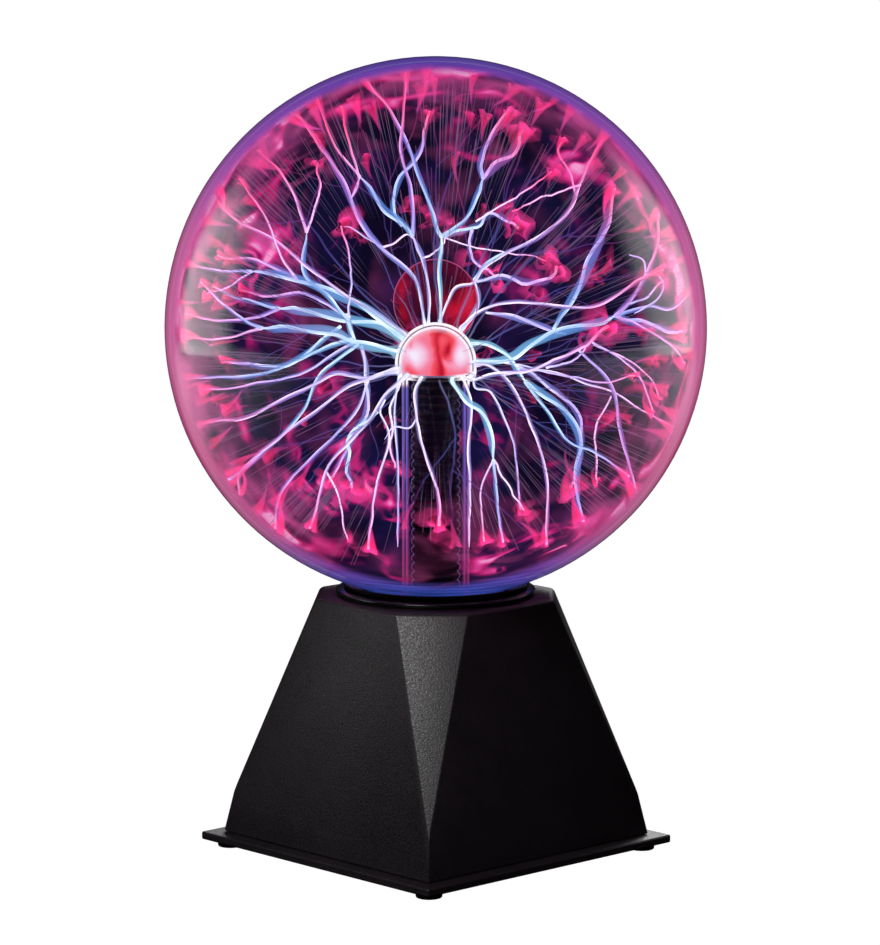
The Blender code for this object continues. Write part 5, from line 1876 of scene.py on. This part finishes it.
@dataclass
class Stand:
    """The pyramid shell with its cut corners, the collar, the bottom plate and the feet."""

    low: float = 5.8
    high: float = 98.6
    half_low: float = 57.35
    half_high: float = 40.95
    tip_z: float = 20.8
    facet_top: float = 44.4
    wall: float = 2.5
    hole_r: float = 31.0
    edge_r: float = 1.6
    window: tuple[float, float, float] = (7.3, 10.8, 6.0)
    jack_hole_r: float = 5.8
    drill: float = 12.0
    panel_z: float = 34.0
    switch_x: float = -18.0
    jack_x: float = 18.0

    @property
    def slope(self) -> float:
        """How far a side leans in for each millimetre up."""
        return (self.half_low - self.half_high) / (self.high - self.low)

    @property
    def lean(self) -> float:
        """The angle that a side leans in by, in radians."""
        return math.atan(self.slope)

    def panel(self, x: float) -> Matrix:
        """Places a thing on the rear face: its Z points out of the face and its Y up it.

        Args:
            x: its place across, in millimetres.

        Returns:
            The place, in metres.
        """
        y = self.half_low - self.slope * (self.panel_z - self.low)
        turn = Matrix.Rotation(math.pi, 4, "Z") @ Matrix.Rotation(math.pi / 2 - self.lean, 4, "X")
        return Matrix.Translation(Vector((x, y, self.panel_z)) * MM) @ turn

    def pyramid(self, name: str, inset: float, low: float, high: float) -> bpy.types.Object:
        """Models the pyramid from a box: the top pinched in, then a corner cut four times.

        Args:
            name: the piece's name.
            inset: how far its sides lie inside the shell's outer ones, in millimetres.
            low: its foot's height in millimetres.
            high: its top's height in millimetres.

        Returns:
            The closed solid.
        """

        def half(z: float) -> float:
            """Half of the side at a height."""
            return self.half_low - self.slope * (z - self.low) - inset / math.cos(self.lean)

        wide = half(low)
        obj = cube(name, Vector((-wide, -wide, low)) * MM, Vector((wide, wide, high)) * MM)
        pick(obj, "FACE", lambda f: f.normal.z > 0.5)
        pinch = half(high) / wide
        bpy.ops.transform.resize(value=(pinch, pinch, 1.0), center_override=(0, 0, high * MM))
        tip = math.sqrt(2) * (self.half_low - self.slope * (self.tip_z - self.low))
        run = (tip - self.facet_top) / (self.high - self.tip_z)
        normal = Vector((1 / math.hypot(1, run), 0.0, run / math.hypot(1, run)))
        for quarter in range(4):
            turn = Matrix.Rotation(math.radians(45 + 90 * quarter), 3, "Z")
            facing = turn @ normal
            through = turn @ Vector((tip, 0.0, self.tip_z)) - facing * inset
            bpy.ops.mesh.select_all(action="SELECT")
            bpy.ops.mesh.bisect(
                plane_co=through * MM, plane_no=facing, use_fill=True, clear_outer=True
            )
        bpy.ops.object.mode_set(mode="OBJECT")
        return obj

    def shell(self) -> None:
        """Models the shell: rounded top, crisp corners, hollow, with its openings."""
        obj = self.pyramid("pyramid_shell", 0.0, self.low, self.high)
        top = self.high * MM
        pick(obj, "EDGE", lambda e: all(abs(v.co.z - top) < 1e-5 for v in e.verts))
        bpy.ops.mesh.bevel(offset=self.edge_r * MM, segments=5, affect="EDGES")
        bpy.ops.object.mode_set(mode="OBJECT")
        round_edges(obj, 0.5, 2)
        cut(obj, self.pyramid("hollow", self.wall, self.low - 2, self.high - self.wall))
        deselect()
        bpy.ops.mesh.primitive_cylinder_add(
            vertices=96, radius=self.hole_r * MM, depth=self.drill * MM,
            location=(0, 0, self.high * MM),
        )
        cut(obj, bpy.context.object)
        window = cube("window", -Vector(self.window) * MM, Vector(self.window) * MM)
        set_down(window, self.panel(self.switch_x))
        cut(obj, window)
        deselect()
        bpy.ops.mesh.primitive_cylinder_add(
            vertices=48, radius=self.jack_hole_r * MM, depth=self.drill * MM
        )
        drill = bpy.context.object
        set_down(drill, self.panel(self.jack_x))
        cut(obj, drill)
        take(obj)
        bpy.ops.object.shade_smooth_by_angle(angle=CREASE)
        place_piece(obj, finish(Finish.ABS), STAND_BODY, "black_abs", "base_shell")

    def collar(self) -> None:
        """Turns the collar and the gasket under the globe."""
        profile = [(28.6, 94.0), (30.6, 94.0), (30.6, 98.9), (37.4, 98.9)]
        profile += arc((36.9, 99.9), 0.9, -35, 75, 6)
        profile += [(35.4, 101.1)] + arc((29.6, 100.4), 1.0, 80, 180, 6)
        obj = turned("collar_ring_turned", profile, 128)
        place_piece(obj, finish(Finish.COLLAR), STAND_BODY, "black_abs", "collar_ring")
        lips = [(30.5, 101.7), (34.4, 101.7), (35.0, 102.1), (35.0, 103.1), (34.8, 103.3),
                (30.5, 101.98)]
        obj = turned("gasket_ring", lips, 128)
        place_piece(obj, finish(Finish.GASKET), STAND_BODY, "black_rubber", "globe_gasket")

    def feet(self) -> None:
        """Turns one rubber foot and copies it to the four corners."""
        profile = [(0, 0.0), (4.0, 0.0), *arc((4.3, 0.6), 0.6, -80, 0, 4), (5.0, 1.9),
                   (4.7, 2.2), (0, 2.2)]
        first = turned("foot_pattern", profile, 40, closed=False)
        for place in CORNERS:
            low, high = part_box(f"foot_{place}")
            middle = (Vector(low) + Vector(high)) / 2
            obj = first.copy()
            obj.data = first.data.copy()
            obj.name = f"rubber_foot_{place}"
            bpy.context.scene.collection.objects.link(obj)
            set_down(obj, Matrix.Translation((middle.x, middle.y, 0)))
            place_piece(obj, finish(Finish.RUBBER), STAND_BODY, "black_rubber", f"foot_{place}")
        bpy.data.objects.remove(first)

    def build(self) -> None:
        """Builds the stand."""
        self.shell()
        self.collar()
        self.feet()
        dress(frame["nodes"]["bottom_plate"], finish(Finish.ABS))


# ---------------------------------------------------------------- rear panel


@dataclass
class RearPanel:
    """The rocker switch and the power jack on the rear face."""

    stand: Stand

    def housing(self) -> None:
        """Models the switch's frame and its well."""
        place = self.stand.panel(self.stand.switch_x)
        obj = cube("switch_frame", Vector((-8.7, -12.2, 0.3)) * MM, Vector((8.7, 12.2, 2.0)) * MM)
        pick(obj, "EDGE", lambda e: abs(e.verts[0].co.z - e.verts[1].co.z) > 1e-4)
        bpy.ops.mesh.bevel(offset=1.2 * MM, segments=4, affect="EDGES")
        bpy.ops.object.mode_set(mode="OBJECT")
        round_edges(obj, 0.35, 3)
        body = cube("switch_body", Vector((-7, -10.5, -12.8)) * MM, Vector((7, 10.5, 1.0)) * MM)
        cut(obj, body, "UNION")
        for y in (-6.0, 0.0, 6.0):
            tag = cube("tag", Vector((-2.4, y - 0.4, -17)) * MM, Vector((2.4, y + 0.4, -12)) * MM)
            cut(obj, tag, "UNION")
        well = cube("well", Vector((-5.9, -9.4, -8)) * MM, Vector((5.9, 9.4, 4)) * MM)
        cut(obj, well)
        take(obj)
        bpy.ops.object.shade_smooth_by_angle(angle=CREASE)
        set_down(obj, place)
        place_piece(obj, finish(Finish.NYLON), STAND_BODY, "black_nylon", "switch_housing")

    def rocker(self) -> None:
        """Models the rocker: two paddles that meet in a valley, with raised marks."""
        low = Vector((-5.5, -8.2, -4.2)) * MM
        obj = cube("rocker_paddle", low, Vector((5.5, 8.2, 2.6)) * MM)
        take(obj)
        bpy.ops.object.mode_set(mode="EDIT")
        bpy.ops.mesh.select_all(action="SELECT")
        bpy.ops.mesh.bisect(plane_co=(0, 0, 0), plane_no=(0, 1, 0))
        bpy.ops.object.mode_set(mode="OBJECT")
        valley = 1.2 * MM
        pick(obj, "EDGE", lambda e: all(abs(v.co.y) < 1e-5 and v.co.z > 0 for v in e.verts))
        bpy.ops.transform.translate(value=(0, 0, valley - 2.6 * MM))
        bpy.ops.object.mode_set(mode="OBJECT")
        pick(obj, "EDGE", lambda e: all(abs(v.co.y) < 1e-5 and v.co.z < 0 for v in e.verts))
        bpy.ops.transform.translate(value=(0, 0, -2.9 * MM))
        bpy.ops.object.mode_set(mode="OBJECT")
        round_edges(obj, 0.4, 3)
        for y, offsets in ((5.2, (0.0,)), (-5.2, (-0.9, 0.9))):
            for x in offsets:
                z = 1.2 + 1.4 * abs(y) / 8.2
                bar = cube("bar", Vector((x - 0.3, y - 1.5, z - 0.6)) * MM,
                           Vector((x + 0.3, y + 1.5, z + 0.22)) * MM)
                cut(obj, bar, "UNION")
        set_down(obj, self.stand.panel(self.stand.switch_x))
        place_piece(obj, finish(Finish.ROCKER), ROCKER_BODY, "rocker_plastic", "switch_rocker")

    def jack(self) -> None:
        """Turns the jack's flanged barrel and its pin."""
        place = self.stand.panel(self.stand.jack_x)
        barrel = [(3.1, 1.4), (3.4, 1.8), (5.7, 1.8), (6.6, 1.2), (6.6, 0.3), (5.3, 0.3),
                  (5.3, -6.5), (4.6, -6.5), (4.6, -13.5), (0, -13.5), (0, -9.5), (3.1, -9.5)]
        obj = turned("jack_barrel", barrel, 56)
        set_down(obj, place)
        place_piece(obj, finish(Finish.NYLON), STAND_BODY, "black_nylon", "jack_body")
        tip = [(0, -9.2), (1.05, -9.2), (1.05, -0.3), (0.9, 0.2), (0.5, 0.55), (0, 0.6)]
        obj = turned("jack_contact", tip, 32, closed=False)
        set_down(obj, place)
        place_piece(obj, finish(Finish.ZINC), STAND_BODY, "zinc_plated_steel", "jack_pin")

    def build(self) -> None:
        """Builds the rear panel."""
        self.housing()
        self.rocker()
        self.jack()


# ---------------------------------------------------------------- works inside the stand


@dataclass
class Works:
    """The CAD nodes that stay: each gets the finish of what it is."""

    finishes: dict[str, Finish] = field(default_factory=lambda: {
        "contact_wool": Finish.ZINC, "contact_rod": Finish.BRASS, "stem_bush": Finish.RUBBER,
        "high_voltage_boot": Finish.RUBBER, "neck_sleeve": Finish.SILICONE,
        "neck_holder": Finish.NYLON, "driver_board": Finish.BOARD,
        "ferrite_core": Finish.FERRITE, "transformer_bobbin": Finish.NYLON,
        "high_voltage_winding": Finish.COPPER, "heat_sink": Finish.ALUMINIUM,
        "power_transistor": Finish.EPOXY, "transistor_screw": Finish.ZINC,
        "supply_capacitor": Finish.SLEEVE, "pulse_capacitor": Finish.SLEEVE,
        "timing_capacitor": Finish.SLEEVE, "film_capacitor": Finish.FILM_CASE,
        "driver_chip": Finish.EPOXY, "base_resistor": Finish.LACQUER,
        "feedback_resistor": Finish.LACQUER, "bias_resistor": Finish.LACQUER,
        "microphone": Finish.ZINC, "power_header": Finish.HEADER,
        "switch_header": Finish.HEADER, "trimmer_case": Finish.TRIMMER,
        "trimmer_rotor": Finish.ROTOR, "jack_nut": Finish.ZINC,
        "high_voltage_lead": Finish.HV_LEAD, "jack_lead": Finish.PVC,
        "switch_lead": Finish.PVC,
    })
    exhaust_z: float = 100.0

    def build(self) -> None:
        """Dresses the nodes."""
        nodes = frame["nodes"]
        for name, kind in self.finishes.items():
            dress(nodes[name], finish(kind))
            LOG.info("%s: %s", name, kind.value.name)
        for corner in CORNERS:
            for group in ("clamp_screw", "plate_screw", "board_screw"):
                dress(nodes[f"{group}_{corner}"], finish(Finish.ZINC))
        # The exhaust tip wears the stem's glass, painted reflections down its outline included.
        dress(nodes["exhaust_tip"], StemGlass(self.exhaust_z * MM).build())


def main() -> None:
    """Builds every sub-assembly in order, then the studio round them."""
    logging.basicConfig(level=logging.INFO, format="%(message)s")
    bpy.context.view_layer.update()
    studio = Studio()
    studio.camera()
    studio.colours()
    globe = Globe()
    globe.build()
    stem = Stem()
    stem.build()
    Discharge(globe, stem, studio.azimuth, studio.elevation).build()
    stand = Stand()
    stand.build()
    RearPanel(stand).build()
    Works().build()
    glassware = ("globe_wall", "stem_glass")
    studio.glassware = [bpy.data.objects[name] for name in glassware]
    studio.receivers = [
        piece for piece in bpy.context.scene.objects
        if piece.type == "MESH" and piece.name not in glassware
    ]
    studio.floor()
    studio.world()
    studio.light()
    deselect()


if __name__ == "__main__":
    main()
